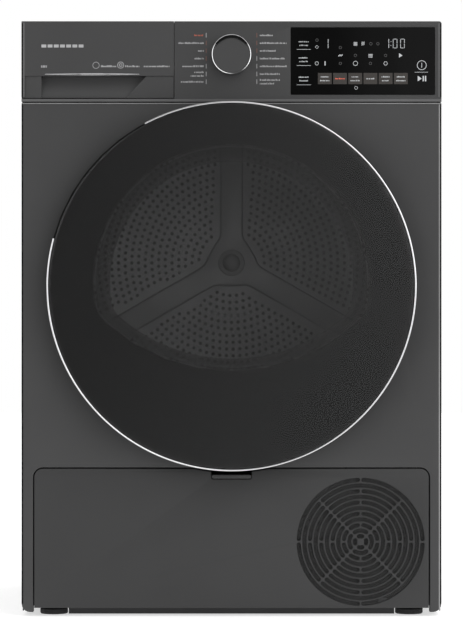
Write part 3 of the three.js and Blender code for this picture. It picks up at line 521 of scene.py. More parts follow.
def add_stage():
    add_camera()
    add_world()
    add_light("key_light", (1.9, -2.6, 1.9), (0, 0, 0.5), (3.0, 3.0), 22)
    add_light("fill_light", (-2.6, -2.2, 1.9), (0, 0, 0.5), (3.0, 3.0), 22)
    add_floor()
    scene = bpy.context.scene
    scene.view_settings.view_transform = "Standard"
    scene.cycles.max_bounces = 14
    scene.cycles.transparent_max_bounces = 12


# ---- cabinet ----
EDGE = 1.5 * MM


def add_cabinet():
    y = FRONT_Y
    depth = FRONT[1][1]
    outline = rounded(-HALF_W, HALF_W, FRONT[0][2], FRONT[1][2], 12 * MM, 6, r_top=2 * MM)
    gap = 1.6 * MM
    opening = rounded(FLAP[0][0] - gap, FLAP[1][0] + gap, -5 * MM, FLAP[1][2] + gap, 0, 8, r_top=14 * MM)
    skirt = FRONT[0][2]
    xs = [p[0] for p in opening]
    left, right = min(xs), max(xs)
    arch = [p for p in opening if p[1] > 0]
    sheet = [(right, skirt), *outline, (left, skirt), *arch[::-1]]
    port = circle(0, PORT_Z, 208 * MM, 160)
    latch = rounded(-236 * MM, -217 * MM, 461 * MM, 477 * MM, 2 * MM)
    hinge = rounded(225 * MM, 236 * MM, 439 * MM, 499 * MM, 2 * MM)
    mesh = plate_mesh([sheet, port, latch, hinge], y, depth, EDGE, 4)
    make_piece("front_sheet", mesh, "paint", "root", ["front_panel"])

    for side, node in ((-1, "side_panel_left"), (1, "side_panel_right")):
        add_side_panel(side, node)
    low, high = TOP
    lid = plate_top(low[0], high[0], low[1], high[1], low[2], high[2])
    make_piece("top_plate", lid, "paint", "root", ["top_cover"])


def add_edge_lines():
    """Painted highlights and painted shade that frame the front: light strips on the sheet's top and right edges,
    lighter strips on the fascia's lip and side edges, and black strips of painted shade along the outer edges.
    """
    edge = HALF_W
    lines = [
        # Light and lighter strips here are painted highlights on the edges.
        ("sheet_top_painted_highlight", "edge_light", -edge + 1.2 * MM, edge - 1.2 * MM, 728.7 * MM, 729.9 * MM, FRONT_Y - 0.1 * MM),
        ("fascia_lip_painted_highlight", "lip", DRAWER[0][0] + 1.2 * MM, edge - 1.2 * MM, 731.7 * MM, 735.3 * MM, FASCIA[0][1] - 0.1 * MM),
        ("sheet_right_painted_highlight", "edge_light", edge - 3.7 * MM, edge - 2.2 * MM, 9 * MM, 728 * MM, FRONT_Y - 0.1 * MM),
        ("fascia_left_painted_highlight", "lip", -edge + 2.2 * MM, -edge + 4.6 * MM, 738 * MM, 844 * MM, FASCIA[0][1] - 0.1 * MM),
        ("fascia_right_painted_highlight", "lip", edge - 4.6 * MM, edge - 2.2 * MM, 738 * MM, 843 * MM, FASCIA[0][1] - 0.1 * MM),
    ]
    for name, material, x0, x1, z0, z1, y in lines:
        body = "tank_drawer" if name == "fascia_left_painted_highlight" else "root"
        make_piece(name, plate_mesh([rounded(x0, x1, z0, z1, 0.4 * MM)], y, y + 0.3 * MM), material, body)
    # Painted shade: black strips along the left and right outer edges of the sheet and fascia.
    for side, name in ((-1, "left"), (1, "right")):
        x0, x1 = sorted((side * (edge - 2.2 * MM), side * edge))
        edge_shade = plate_mesh([rounded(x0, x1, 18 * MM, 728 * MM, 0)], FRONT_Y - 0.1 * MM, FRONT_Y + 6 * MM)
        make_piece(f"sheet_edge_painted_shade_{name}", edge_shade, "shade_sheet", "root")
        upper = plate_mesh([rounded(x0, x1, 738 * MM, 843 * MM, 0)], FASCIA[0][1] - 0.1 * MM, FASCIA[0][1] + 6 * MM)
        make_piece(f"fascia_edge_painted_shade_{name}", upper, "shade_sheet", "tank_drawer" if side < 0 else "root")


def plate_top(x0, x1, y0, y1, z0, z1):
    """The worktop: a rounded slab."""
    bevel = 3 * MM
    mesh = plate_mesh([rounded(x0, x1, y0, y1, 4 * MM, 6, r_top=9 * MM)], -(z1 - z0) / 2, (z1 - z0) / 2, bevel, 4)
    mesh.transform(Matrix.Translation((0, 0, (z0 + z1) / 2)) @ Matrix.Rotation(-math.pi / 2, 4, "X"))
    return mesh


def add_side_panel(side, node):
    """A folded side sheet with three shallow horizontal swages and a rear flange."""
    low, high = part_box(node)
    outer = side * HALF_W
    y0, y1 = low[1], high[1]
    z0, z1 = low[2], high[2]
    swages = [0.30, 0.50, 0.70]
    half, step = 26 * MM, 1.4 * MM
    rows, columns = 96, 64
    grid = []
    for r in range(rows + 1):
        z = z0 + (z1 - z0) * r / rows
        row = []
        for c in range(columns + 1):
            y = y0 + (y1 - y0) * c / columns
            inset = 0.0
            for share in swages:
                middle = z0 + (z1 - z0) * share
                across = max(0.0, 1 - max(0.0, abs(z - middle) - half * 0.5) / (half * 0.5))
                ends = min(1.0, max(0.0, min(y - y0 - 50 * MM, y1 - 50 * MM - y) / (14 * MM)))
                inset = max(inset, step * smooth(across) * smooth(ends))
            row.append((outer - side * inset, y, z))
        grid.append(row)
    skin = [row for row in grid]
    count = len(skin[0])
    points = [p for row in skin for p in row]
    inner = [(x - side * 1.5 * MM, py, pz) for x, py, pz in points]
    faces = []
    for r in range(rows):
        for c in range(columns):
            a = r * count + c
            faces.append((a, a + 1, a + count + 1, a + count))
    total = len(points)
    back_faces = [tuple(total + i for i in face[::-1]) for face in faces]
    border = [(r * count, (r + 1) * count) for r in range(rows)]
    border += [((r + 1) * count + columns, r * count + columns) for r in range(rows)]
    border += [(c + 1, c) for c in range(columns)]
    border += [(rows * count + c, rows * count + c + 1) for c in range(columns)]
    rim = [(a, b, total + b, total + a) for a, b in border]
    mesh = bpy.data.meshes.new(node + "_skin")
    mesh.from_pydata(points + inner, [], faces + back_faces + rim)
    flange = box_mesh(*sorted((outer - side * 1.6 * MM, side * (HALF_W - 16 * MM))), y1 - 1.5 * MM, y1, z0, z1, 0)
    mesh = joined([mesh, flange])
    weld(mesh)
    make_piece(node + "_sheet", mesh, "paint", "root", [node], smooth=20)


def smooth(t):
    return t * t * (3 - 2 * t)


# ---- fascia: drawer front, control panel, knob, display ----
def add_drawer():
    low, high = DRAWER
    crease = 768.0 * MM
    face, back = low[1], high[1]
    lower_face = face + 1.5 * MM
    upper = plate_mesh([rounded(low[0], high[0], crease, high[2], 0.8 * MM)], face, back, 0.6 * MM, 3)
    make_piece("drawer_face_upper", upper, "paint", "tank_drawer", ["drawer_front"])
    scoop_left, scoop_low, scoop_high = -270 * MM, -151 * MM, -120 * MM
    hidden = crease + 1.5 * MM
    left = [(low[0], low[2]), (scoop_left, low[2]), (scoop_left, hidden), (low[0], hidden)]
    right = [(scoop_low, low[2]), (high[0], low[2]), (high[0], hidden), (scoop_high, hidden)]
    lower = joined([plate_mesh([loop], lower_face, back - 0.5 * MM, 1.0 * MM, 3) for loop in (left, right)])
    make_piece("drawer_face_lower", lower, "paint", "tank_drawer")
    rows = []
    for i in range(15):
        t = i / 14
        z = low[2] + 0.6 * MM + (crease - low[2] - 0.6 * MM) * t
        y = face + (3.5 + 9.5 * smooth(min(1, t * 1.1))) * MM
        rows.append([(scoop_left - 2 * MM, y, z), (-180 * MM, y, z), (scoop_high + 8 * MM, y - 1 * MM, z),
                     (scoop_high + 8 * MM, back - 0.5 * MM, z), (scoop_left - 2 * MM, back - 0.5 * MM, z)])
    make_piece("drawer_scoop", skin_mesh(rows), "paint", "tank_drawer")
    add_drawer_marks(face)
    strip_low, strip_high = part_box("drawer_strip")
    middle_z = (strip_low[2] + strip_high[2]) / 2
    rings = []
    for i in range(61):
        t = i / 60
        x = strip_low[0] + (strip_high[0] - strip_low[0]) * t
        swell = (0.35 + 0.65 * math.sin(math.pi * t)) * (strip_high[2] - strip_low[2]) / 2
        rings.append([(x, strip_low[1] + 1.2 * MM * (1 - math.cos(a)) / 2, middle_z + swell * math.sin(a))
                      for a in (2 * math.pi * k / 12 for k in range(12))])
    make_piece("drawer_chrome", skin_mesh(rings), "chrome", "tank_drawer", ["drawer_strip"])


def add_drawer_marks(face):
    """Plain dashes and rings where the printed captions sit."""
    marks = [bar(-270.0 + 8.8 * k, -263.2 + 8.8 * k, 808.6, 812.8) for k in range(7)]
    marks += label(-270.5, -261, 782.2, 4.4)
    marks += ring_loops(-192.5, 783.3, 4.8, 0.6) + label(-185.5, -164, 782.0, 2.6)
    marks += ring_loops(-157.5, 783.6, 4.8, 0.8, 14) + ring_loops(-157.5, 783.6, 2.4, 0.8, 10)
    marks += label(-151, -131, 782.0, 2.6) + label(-124.5, -88, 782.0, 2.6)
    bars(marks, "drawer_marks", "print", face, "tank_drawer")


def add_control_panel():
    low, high = FASCIA
    joint = DRAWER[1][0] + 0.5 * MM
    step = 735.8 * MM
    outline = [(low[0], low[2]), (high[0], low[2]), (high[0], high[2] - 3 * MM), (high[0] - 0.9 * MM, high[2] - 0.9 * MM),
               (high[0] - 3 * MM, high[2]), (joint, high[2]), (joint, step), (low[0], step)]
    hole = circle(0, KNOB_Z, 7 * MM, 32)
    window = rounded(WINDOW[0][0] - 0.3 * MM, WINDOW[1][0] + 0.3 * MM, WINDOW[0][2] - 0.3 * MM, WINDOW[1][2] + 0.3 * MM, 0.8 * MM)
    make_piece("control_fascia", plate_mesh([outline, hole, window], low[1], high[1], 0.9 * MM, 3),
               "paint", "root", ["control_panel"])
    glass = rounded(WINDOW[0][0], WINDOW[1][0], WINDOW[0][2], WINDOW[1][2], 0.6 * MM)
    make_piece("display_glass", plate_mesh([glass], WINDOW[0][1], WINDOW[1][1], 0.4 * MM, 2),
               "window", "root", ["display_window"])


def add_knob():
    """A turned cap with a dished face whose upper half dips under the chrome ring."""
    low, high = KNOB
    face, back = low[1], high[1]
    outer = high[0]
    inner = outer - 1.9 * MM
    rings = []
    spans = 24
    for i in range(97):
        a = 2 * math.pi * i / 96
        dip = max(0.0, (math.sin(a) - 0.4) / 0.6) ** 0.5 * 6.0 * MM
        row = []
        for k in range(spans + 1):
            r = inner * k / spans
            t = max(0.0, (r / inner - 0.88) / 0.12)
            y = face + 1.2 * MM + dip * smooth(min(1.0, t))
            row.append((r * math.cos(a), y, KNOB_Z + r * math.sin(a)))
        row.append((inner * math.cos(a), back, KNOB_Z + inner * math.sin(a)))
        row.append((0, back, KNOB_Z))
        rings.append(row)
    make_piece("knob_cap", skin_mesh(rings[:-1], around=False, along=True, caps=False), "paint", "knob",
               ["knob_body"], smooth=50)
    bead = [(inner + 0.15 * MM, face + 0.9 * MM), (inner + 0.5 * MM, face + 0.2 * MM), (inner + 1.2 * MM, face),
            (outer - 0.5 * MM, face + 0.3 * MM), (outer, face + 1.2 * MM), (outer - 0.3 * MM, back), (inner + 0.15 * MM, back)]
    make_piece("knob_chrome", turned_mesh(bead, 0, KNOB_Z, 128), "chrome", "knob", ["knob_ring"])
    # Painted shade: a black arc inside the ring's upper part stands in for the shadow in the recess.
    start, stop = math.radians(33), math.radians(147)
    steps = 48
    reveal = [inner - 2.8 * MM * math.sin(math.pi * i / steps) ** 0.35 for i in range(steps, -1, -1)]
    arc = circle(0, KNOB_Z, inner + 0.55 * MM, steps, start, stop, closed=False)
    arc += [(r * math.cos(stop - (stop - start) * i / steps), KNOB_Z + r * math.sin(stop - (stop - start) * i / steps))
            for i, r in enumerate(reveal)]
    make_piece("knob_recess_painted_shade", plate_mesh([arc], face - 0.4 * MM, face + 0.6 * MM), "black", "knob")


def bars(loops, name, material, y, body, lift=0.15 * MM):
    make_piece(name, plate_mesh(loops, y - lift, y + 0.1 * MM), material, body, smooth=0)


def bar(x0, x1, z0, z1):
    return [(x0 * MM, z0 * MM), (x1 * MM, z0 * MM), (x1 * MM, z1 * MM), (x0 * MM, z1 * MM)]


def label(x0, x1, z, height=2.0):
    """A row of small blocks that stands for a printed caption."""
    loops = []
    x = x0
    while x < x1 - 0.6:
        width = min(RNG.uniform(0.8, 1.5), x1 - x)
        tall = height * RNG.choice((0.72, 0.72, 1.0))
        loops.append(bar(x, x + width, z - height * 0.5, z - height * 0.5 + tall))
        x += width + RNG.choice((0.45, 0.45, 0.5, 1.1))
    return loops


DIAL_ROWS = [826.0 - 11.0 * i for i in range(7)]
LEFT_LABELS = [(13.5,), (36,), (8,), (13,), (30.5,), (13.5, 18.5), (32.5,)]
RIGHT_LABELS = [(18.3,), (38,), (24,), (36,), (38,), (29,), (30, 20)]


def add_dial_marks():
    y = FASCIA[0][1]
    plain, warm, warm_ticks = [], [], []
    for row, (z, left, right) in enumerate(zip(DIAL_ROWS, LEFT_LABELS, RIGHT_LABELS)):
        for side, lengths in ((-1, left), (1, right)):
            tick = bar(36 * side - 0.4, 36 * side + 0.4, z - 3.2, z + 3.2)
            warm_row = row in (0, 1, 2) if side > 0 else row in (1, 2, 3)
            (warm_ticks if warm_row else plain).append(tick)
            for line, length in enumerate(lengths):
                shift = 0 if len(lengths) == 1 else 2.6 - 5.2 * line
                x0, x1 = (-39.4 - length, -39.4) if side < 0 else (40.3, 40.3 + length)
                (warm if row == 0 and side < 0 else plain).extend(label(x0, x1, z + shift, 2.5))
    bars(plain, "dial_marks", "print", y, "root")
    bars(warm, "dial_mark_selected", "print_warm", y, "root")
    bars(warm_ticks, "dial_ticks_warm", "print_dim", y, "root")


def ring_loops(x, z, r, width, steps=28):
    """A thin ring as two half-ring outlines."""
    loops = []
    for start in (0, math.pi):
        outer = circle(x * MM, z * MM, r * MM, steps, start, start + math.pi, closed=False)
        inner = circle(x * MM, z * MM, (r - width) * MM, steps, start + math.pi, start, closed=False)
        loops.append(outer + inner)
    return loops


def seven_segment(x, z0, z1, width, digit):
    """Bars of a seven-segment figure: only 0 and 1 are used."""
    t = 0.75
    middle = (z0 + z1) / 2
    gap = 0.35
    uprights = [bar(x + width - t, x + width, z0 + gap, middle - gap), bar(x + width - t, x + width, middle + gap, z1 - gap)]
    if digit == 0:
        uprights += [bar(x, x + t, z0 + gap, middle - gap), bar(x, x + t, middle + gap, z1 - gap),
                     bar(x + t + gap, x + width - t - gap, z0, z0 + t), bar(x + t + gap, x + width - t - gap, z1 - t, z1)]
    return uprights


def polygon_icon(x, z, r, sides, turn=0.0):
    return [(p[0], p[1]) for p in circle(x * MM, z * MM, r * MM, sides, turn, turn + 2 * math.pi)]


def add_display():
    y = WINDOW[0][1]
    lit, dim, keys = [], [], []
    for top in (816.9, 794.0, 766.6):
        lit += label(95.5, 109.5, top, 1.9) + label(96.5, 108.5, top - 5.2, 1.9)
        lit.append(bar(92.7, 112.7, top - 11.3, top - 10.8))
    lit += seven_segment(133.5, 807.5, 820.9, 4.2, 1) + seven_segment(219.6, 807.5, 820.9, 4.2, 1)
    lit += seven_segment(229.3, 807.5, 820.9, 6.2, 0) + seven_segment(239.8, 807.5, 820.9, 6.2, 0)
    lit += [bar(226.1, 227.0, 811, 811.9), bar(226.1, 227.0, 816.5, 817.4)]
    lit += [[(238 * MM, 794.2 * MM), (243 * MM, 797.3 * MM), (238 * MM, 800.4 * MM)]]
    lit += ring_loops(270.3, 783.4, 6.8, 0.8) + [bar(269.9, 270.7, 780, 786.8), bar(260.2, 279.1, 773.2, 773.7)]
    lit += [[(264.6 * MM, 760.6 * MM), (270.3 * MM, 764.4 * MM), (264.6 * MM, 768.3 * MM)],
            bar(271.6, 273.4, 760.6, 768.3), bar(274.8, 276.6, 760.6, 768.3)]
    lit += ring_loops(121.4, 809.3, 2.8, 0.6, 3) + ring_loops(121.2, 786, 2.7, 0.6, 14) + [bar(132.2, 133.6, 783, 789)]
    for k in range(4):
        lit += [polygon_icon(152.6 + 1.5 * k, 797.3 + (k % 2) * 1.2 - 0.6, 1.0, 5)]
    lit += ring_loops(176.1, 786, 3.4, 0.65, 16) + ring_loops(218.9, 786, 3.1, 0.7, 4)
    lit += [bar(173.8 + 1.8 * k, 174.9 + 1.8 * k, 811, 816.4) for k in range(3)]
    lit += [bar(185 + 1.5 * k, 185.8 + 1.5 * k, 811.4 + k * 0.4, 816.8) for k in range(3)]
    lit += [bar(194.6, 200.4, 796 + 1.9 * k - 1.6, 797 + 1.9 * k - 1.6) for k in range(3)]
    lit += ring_loops(102.3, 751.0, 2.4, 0.5, 2) + ring_loops(177.0, 751.2, 2.4, 0.5, 12)
    for x, z in ((154.7, 808.5), (154.7, 786), (198, 813.9), (208, 813.9), (218.9, 797.3), (121.4, 819), (176.1, 797.3), (197.4, 786)):
        dim += ring_loops(x, z, 2.2, 0.7, 6)
    for k in range(6):
        x0 = 122.8 + 21.6 * k
        keys.append(bar(x0, x0 + 19.6, 756.5, 772.4))
    bars(keys, "display_keys", "key", y, "root", 0.08 * MM)
    captions, accent = [], []
    for k in range(6):
        x0 = 125.6 + 21.6 * k
        rows = (764.4,) if k in (1, 3) else (767.0, 761.6)
        for z in rows:
            inset = RNG.uniform(0, 2)
            (accent if k == 1 else captions).extend(label(x0 + inset, x0 + 14 - inset, z, 1.9))
    bars(lit + captions, "display_symbols", "lit", y - 0.09 * MM, "root", 0.08 * MM)
    bars(accent, "display_accent", "key_warm", y - 0.09 * MM, "root", 0.08 * MM)
    bars(dim, "display_dim_symbols", "lit_dim", y, "root", 0.08 * MM)


# ---- door ----
def add_door():
    y0 = GLASS[0][1]
    r = GLASS_R
    crown = 2.0 * MM
    back = GLASS[1][1]
    front = [(r * 0.985 * i / 40, y0 + crown * (i / 40) ** 2) for i in range(41)]
    edge = [(r - 1.2 * MM, y0 + crown + 0.25 * MM), (r, y0 + crown + 1.0 * MM), (r, back)]
    make_piece("door_pane", turned_mesh(front + edge + [(0, back)], 0, DOOR_Z, 192), "glass", "door",
               ["door_glass"], smooth=30)
    trim_low, trim_high = TRIM
    inner = DOOR_R - 2.7 * MM
    centre = (inner + DOOR_R) / 2
    depth = (trim_high[1] - trim_low[1]) / 2
    rings = []
    start, stop = math.radians(165), math.radians(478)
    for i in range(241):
        a = start + (stop - start) * i / 240
        ring = []
        for k in range(20):
            t = 2 * math.pi * k / 20
            u = math.copysign(abs(math.cos(t)) ** 0.6, math.cos(t)) * (DOOR_R - inner) / 2
            v = math.copysign(abs(math.sin(t)) ** 0.6, math.sin(t)) * depth
            ring.append(((centre + u) * math.cos(a), trim_low[1] + depth + v, DOOR_Z + (centre + u) * math.sin(a)))
        rings.append(ring)
    make_piece("door_chrome_arc", skin_mesh(rings), "chrome", "door", ["door_trim"], smooth=50)

    bowl_low, bowl_high = BOWL
    shapes = [(170, 369, -230.0), (174, 366, -231.5), (184, 359, -250), (191, 354.2, -298.5), (195, 350.2, -298.5),
              (195, 350.2, -264), (193, 352, -259), (180, 361, -230), (176.5, 363.5, -227.2), (174, 365, -226)]
    rings = [[(x, y * MM, z) for x, z in port_outline(rad * MM, low * MM)] for rad, low, y in shapes]
    make_piece("door_bowl_shell", skin_mesh(rings), "bowl", "door", ["door_bowl"], smooth=40)
    # The inner line is a painted highlight on the bowl's edge; the outer one is plain bowl plastic.
    for name, rad, low, y, material in (("inner", 175.5, 364.2, -227.6, "glint"), ("outer", 192.5, 352.6, -259.5, "bowl")):
        loops = [port_outline((rad + d) * MM, (low - d) * MM) for d in (0.9, -0.9)]
        make_piece(f"bowl_{name}_glint", plate_mesh(loops, y * MM, (y + 0.5) * MM), material, "door")


# ---- drum, bulkhead and seal ----
ARM_ANGLES = [math.radians(a) for a in (90, 210, 330)]


def add_drum():
    low, high = DRUM
    wall = 1.5 * MM
    inner = DRUM_R - wall
    profile = [(272 * MM, low[1]), (DRUM_R - 3 * MM, low[1]), (DRUM_R, low[1] + 3 * MM)]
    for share in (0.22, 0.5, 0.78):
        y = low[1] + (high[1] - low[1]) * share
        profile += [(DRUM_R, y - 9 * MM), (DRUM_R - 2 * MM, y - 4 * MM), (DRUM_R - 2 * MM, y + 4 * MM), (DRUM_R, y + 9 * MM)]
    profile += [(DRUM_R, high[1]), (inner, high[1])]
    for share in (0.78, 0.5, 0.22):
        y = low[1] + (high[1] - low[1]) * share
        profile += [(inner, y + 9 * MM), (inner - 2 * MM, y + 4 * MM), (inner - 2 * MM, y - 4 * MM), (inner, y - 9 * MM)]
    profile += [(inner, low[1] + 4 * MM), (inner - 3 * MM, low[1] + wall), (272 * MM, low[1] + wall)]
    make_piece("drum_barrel", turned_mesh(profile, 0, DRUM_Z, 160), "drum_steel", "drum", ["drum_shell"], smooth=40)
    add_drum_rear(inner)


def star_outline(hub, half, reach, fillet):
    """Three arms that run into a round hub with filleted corners."""
    loop = []
    swing = math.asin((half + fillet) / (hub + fillet))
    for a in ARM_ANGLES:
        for side in (-1, 1):
            toward = a + side * swing
            cx, cz = (hub + fillet) * math.cos(toward), DRUM_Z + (hub + fillet) * math.sin(toward)
            at_hub, at_arm = toward + math.pi, a - side * math.pi / 2
            turn = (at_arm - at_hub + math.pi) % (2 * math.pi) - math.pi
            arc = circle(cx, cz, fillet, 9, at_hub, at_hub + turn, closed=False)
            tip = (reach * math.cos(a) - side * half * math.sin(a), DRUM_Z + reach * math.sin(a) + side * half * math.cos(a))
            loop += [*arc, tip] if side < 0 else [tip, *arc[::-1]]
    return loop


def add_drum_rear(inner):
    y1 = DRUM[1][1]
    loops = [circle(0, DRUM_Z, inner - 0.4 * MM, 160)]
    pitch, hole = 10.6 * MM, 2.7 * MM
    for ring in range(18):
        r = 52 * MM + ring * pitch
        count = round(2 * math.pi * r / pitch)
        for k in range(count):
            a = 2 * math.pi * (k + 0.5 * (ring % 2)) / count
            aside = min(abs(r * math.sin(a - arm)) if math.cos(a - arm) > 0 else r for arm in ARM_ANGLES)
            if aside > 26 * MM:
                loops.append(circle(r * math.cos(a), DRUM_Z + r * math.sin(a), hole, 10))
    plate = plate_mesh(loops, y1 - 3 * MM, y1 - 1.5 * MM)
    star = plate_mesh([star_outline(40 * MM, 18 * MM, 256 * MM, 20 * MM)], y1 - 10 * MM, y1 - 2.5 * MM, 3.2 * MM, 4)
    boss = turned_mesh([(0, y1 - 25 * MM), (7 * MM, y1 - 24 * MM), (11 * MM, y1 - 21.5 * MM), (13.5 * MM, y1 - 17 * MM),
                        (14 * MM, y1 - 13 * MM), (18 * MM, y1 - 12.5 * MM), (20 * MM, y1 - 12 * MM), (21 * MM, y1 - 9.5 * MM),
                        (21 * MM, y1 - 1.5 * MM), (12 * MM, y1 - 1.5 * MM), (12 * MM, 292 * MM), (0, 292 * MM)], 0, DRUM_Z, 96)
    make_piece("drum_back", joined([plate, star, boss]), "drum_steel", "drum", ["drum_rear_wall"], smooth=30)
    for i, a in enumerate(ARM_ANGLES):
        low, high = DRUM[0][1] + 22 * MM, DRUM[1][1] - 28 * MM
        rings = []
        for k in range(25):
            t = k / 24
            y = low + (high - low) * t
            rise = 52 * MM * smooth(min(1, t / 0.12)) * smooth(min(1, (1 - t) / 0.12)) + 1 * MM
            ring = []
            for s in range(17):
                u = -1 + 2 * s / 16
                across = 36 * MM * u * (1 - 0.25 * (1 - abs(u)))
                up = rise * (1 - abs(u) ** 2.2)
                ring.append((across, y, inner - 4 * MM - up))
            ring.append((0, y, inner - 4 * MM + 0.5 * MM))
            rings.append(ring)
        mesh = skin_mesh(rings)
        turned_about_y(mesh, a - math.pi / 2, 0, DRUM_Z)
        make_piece(f"drum_paddle_{i + 1}", mesh, "grey", "drum", [f"drum_lifter_{i + 1}"], smooth=40)


def boolean_cut(mesh, *cutters):
    scene = bpy.context.scene.collection.objects
    holder = bpy.data.objects.new("cut_holder", mesh)
    scene.link(holder)
    tools = []
    for cutter in cutters:
        tool = bpy.data.objects.new("cut_tool", cutter)
        scene.link(tool)
        modifier = holder.modifiers.new("cut", "BOOLEAN")
        modifier.object = tool
        modifier.solver = "EXACT"
        tools.append(tool)
    result = bpy.data.meshes.new_from_object(holder.evaluated_get(bpy.context.evaluated_depsgraph_get()))
    for obj in [holder, *tools]:
        bpy.data.objects.remove(obj)
    return result


def add_bulkhead():
    low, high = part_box("front_bulkhead")
    port = port_outline(200.5 * MM, 345 * MM)
    plate_front = -222 * MM
    back = -210 * MM
    collar = plate_mesh([circle(0, PORT_Z, 211 * MM, 160), port], low[1], plate_front + 0.5 * MM, 1.5 * MM, 3)
    slot_cut = box_mesh(-93 * MM, 93 * MM, -253 * MM, -233 * MM, 268 * MM, 400 * MM, 0)
    collar = boolean_cut(collar, slot_cut)
    make_piece("port_collar", collar, "grey", "root", ["front_bulkhead"])
    plate = plate_mesh([rounded(low[0], high[0], low[2], high[2], 10 * MM), port], plate_front, back, 1.5 * MM, 2)
    make_piece("bulkhead_plate", plate, "grey", "root")
    studs = [turned_mesh([(0, back), (5 * MM, back), (5 * MM, high[1] - 1 * MM), (4 * MM, high[1]), (0, high[1])], x, 273.5 * MM, 32)
             for x in (-201 * MM, 201 * MM)]
    make_piece("roller_studs", joined(studs), "steel", "root")

    seal_low, seal_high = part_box("door_seal")
    r_out = seal_high[0]
    bead = [(r_out - 6.6 * MM, seal_high[1]), (r_out - 6.6 * MM, seal_low[1] + 1.5 * MM), (r_out - 5 * MM, seal_low[1] + 0.3 * MM),
            (r_out - 3 * MM, seal_low[1]), (r_out - 1 * MM, seal_low[1] + 0.3 * MM), (r_out, seal_low[1] + 1.5 * MM), (r_out, seal_high[1])]
    make_piece("port_gasket", turned_mesh(bead, 0, PORT_Z, 160), "rubber", "root", ["door_seal"], smooth=50)

    f_low, f_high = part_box("lint_filter")
    frame_loops = [rounded(f_low[0], f_high[0], f_low[2], f_high[2], 3 * MM)]
    for i in range(3):
        left = -86 * MM + i * 58 * MM
        for r in range(8):
            for c in range(9):
                x, z = left + (c + 0.5) * 6 * MM, 276 * MM + (r + 0.5) * 6.4 * MM
                frame_loops.append(rounded(x - 2.4 * MM, x + 2.4 * MM, z - 2.6 * MM, z + 2.6 * MM, 0))
    make_piece("lint_screen", plate_mesh(frame_loops, f_low[1], f_high[1]), "pale", "root", ["lint_filter"])


# ---- service flap ----
def add_flap():
    low, high = FLAP
    back = FRONT_Y + 5 * MM
    notch_r = DOOR_R + 3.4 * MM
    reach = math.sqrt(notch_r ** 2 - (high[2] - DOOR_Z) ** 2)
    outline = [(high[0], low[2]), *circle(high[0] - 12 * MM, high[2] - 12 * MM, 12 * MM, 8, 0, math.pi / 2, closed=False)]
    window = (BUTTON[1][0] + 0.8 * MM, BUTTON[0][2] - 0.8 * MM)
    limit = math.asin(window[0] / notch_r)
    start = math.asin(reach / notch_r)
    outline += [(notch_r * math.sin(start + (limit - start) * i / 8), DOOR_Z - notch_r * math.cos(start + (limit - start) * i / 8))
                for i in range(9)]
    outline += circle(window[0] - 3 * MM, window[1] + 3 * MM, 3 * MM, 5, 0, -math.pi / 2, closed=False)
    outline += [(-x, z) for x, z in outline[::-1]]
    loops = [outline]
    width = 6.0 * MM
    for index in range(11):
        radius = (88 - 8 * index) * MM
        quarters = 8 if index in (2, 4, 6, 8) else 4
        turn = 0 if index in (0, 2, 4, 6, 8) else math.pi / 4
        pad = (width / 2 + 1.0 * MM) / radius
        for k in range(quarters):
            a = turn + 2 * math.pi * k / quarters
            b = turn + 2 * math.pi * (k + 1) / quarters
            loops.append(slot_outline(FAN_X, FAN_Z, radius, width, a + pad, b - pad, 24 if index < 7 else 9))
    make_piece("service_flap", plate_mesh(loops, FRONT_Y, back, 0.9 * MM, 2), "flap_paint_shaded", "flap", ["flap_panel"])
    # Painted light: a grey see-through disc behind the slots, standing in for the lit space behind the grille.
    slot_light = plate_mesh([circle(FAN_X, FAN_Z, 91 * MM, 64)], back + 0.2 * MM, back + 0.6 * MM)
    make_piece("grille_painted_light_disc", slot_light, "slot_light", "flap")
    knuckles = []
    for x in (-221, 209):
        side = [(-250 * MM + 6.3 * MM * math.cos(a), 20 * MM + 6.3 * MM * math.sin(a))
                for a in (math.pi * (-0.5 + k / 12) for k in range(13))]
        side += [(back - 0.5 * MM, 26.3 * MM), (back - 0.5 * MM, 13.7 * MM)]
        knuckles.append(skin_mesh([[(x * MM + dx * MM, y, z) for y, z in side] for dx in (0, 12)]))
        knuckles.append(skin_mesh([[(px * MM, -250 * MM + 3 * MM * math.cos(a), 20 * MM + 3 * MM * math.sin(a))
                                    for a in (math.pi * k / 10 for k in range(20))] for px in ((-231, -215) if x < 0 else (215, 231))]))
    make_piece("flap_knuckles", joined(knuckles), "dark", "flap")
    b_low, b_high = BUTTON
    make_piece("release_button", plate_mesh([rounded(b_low[0], b_high[0], b_low[2], b_high[2], 2.4 * MM)], b_low[1], b_high[1], 0.8 * MM, 3),
               "paint", "flap_button", ["flap_release"])


# ---- back of the machine ----
def air_slots(inner, outer, half):
    """Six slots round the drum axis for the process air."""
    slots = []
    for k in range(6):
        middle = (k + 0.5) * math.pi / 3
        slots.append(circle(0, DRUM_Z, outer, 20, middle - half, middle + half, closed=False)
                     + circle(0, DRUM_Z, inner, 20, middle + half, middle - half, closed=False))
    return slots


def two_circles(x0, z0, r0, x1, z1, r1):
    away = math.atan2(z1 - z0, x1 - x0)
    tangent = math.acos((r0 - r1) / math.hypot(z1 - z0, x1 - x0))
    big = circle(x0, z0, r0, 96, away + tangent, away - tangent + 2 * math.pi, closed=False)
    small = circle(x1, z1, r1, 48, away - tangent, away + tangent, closed=False)
    return big + small


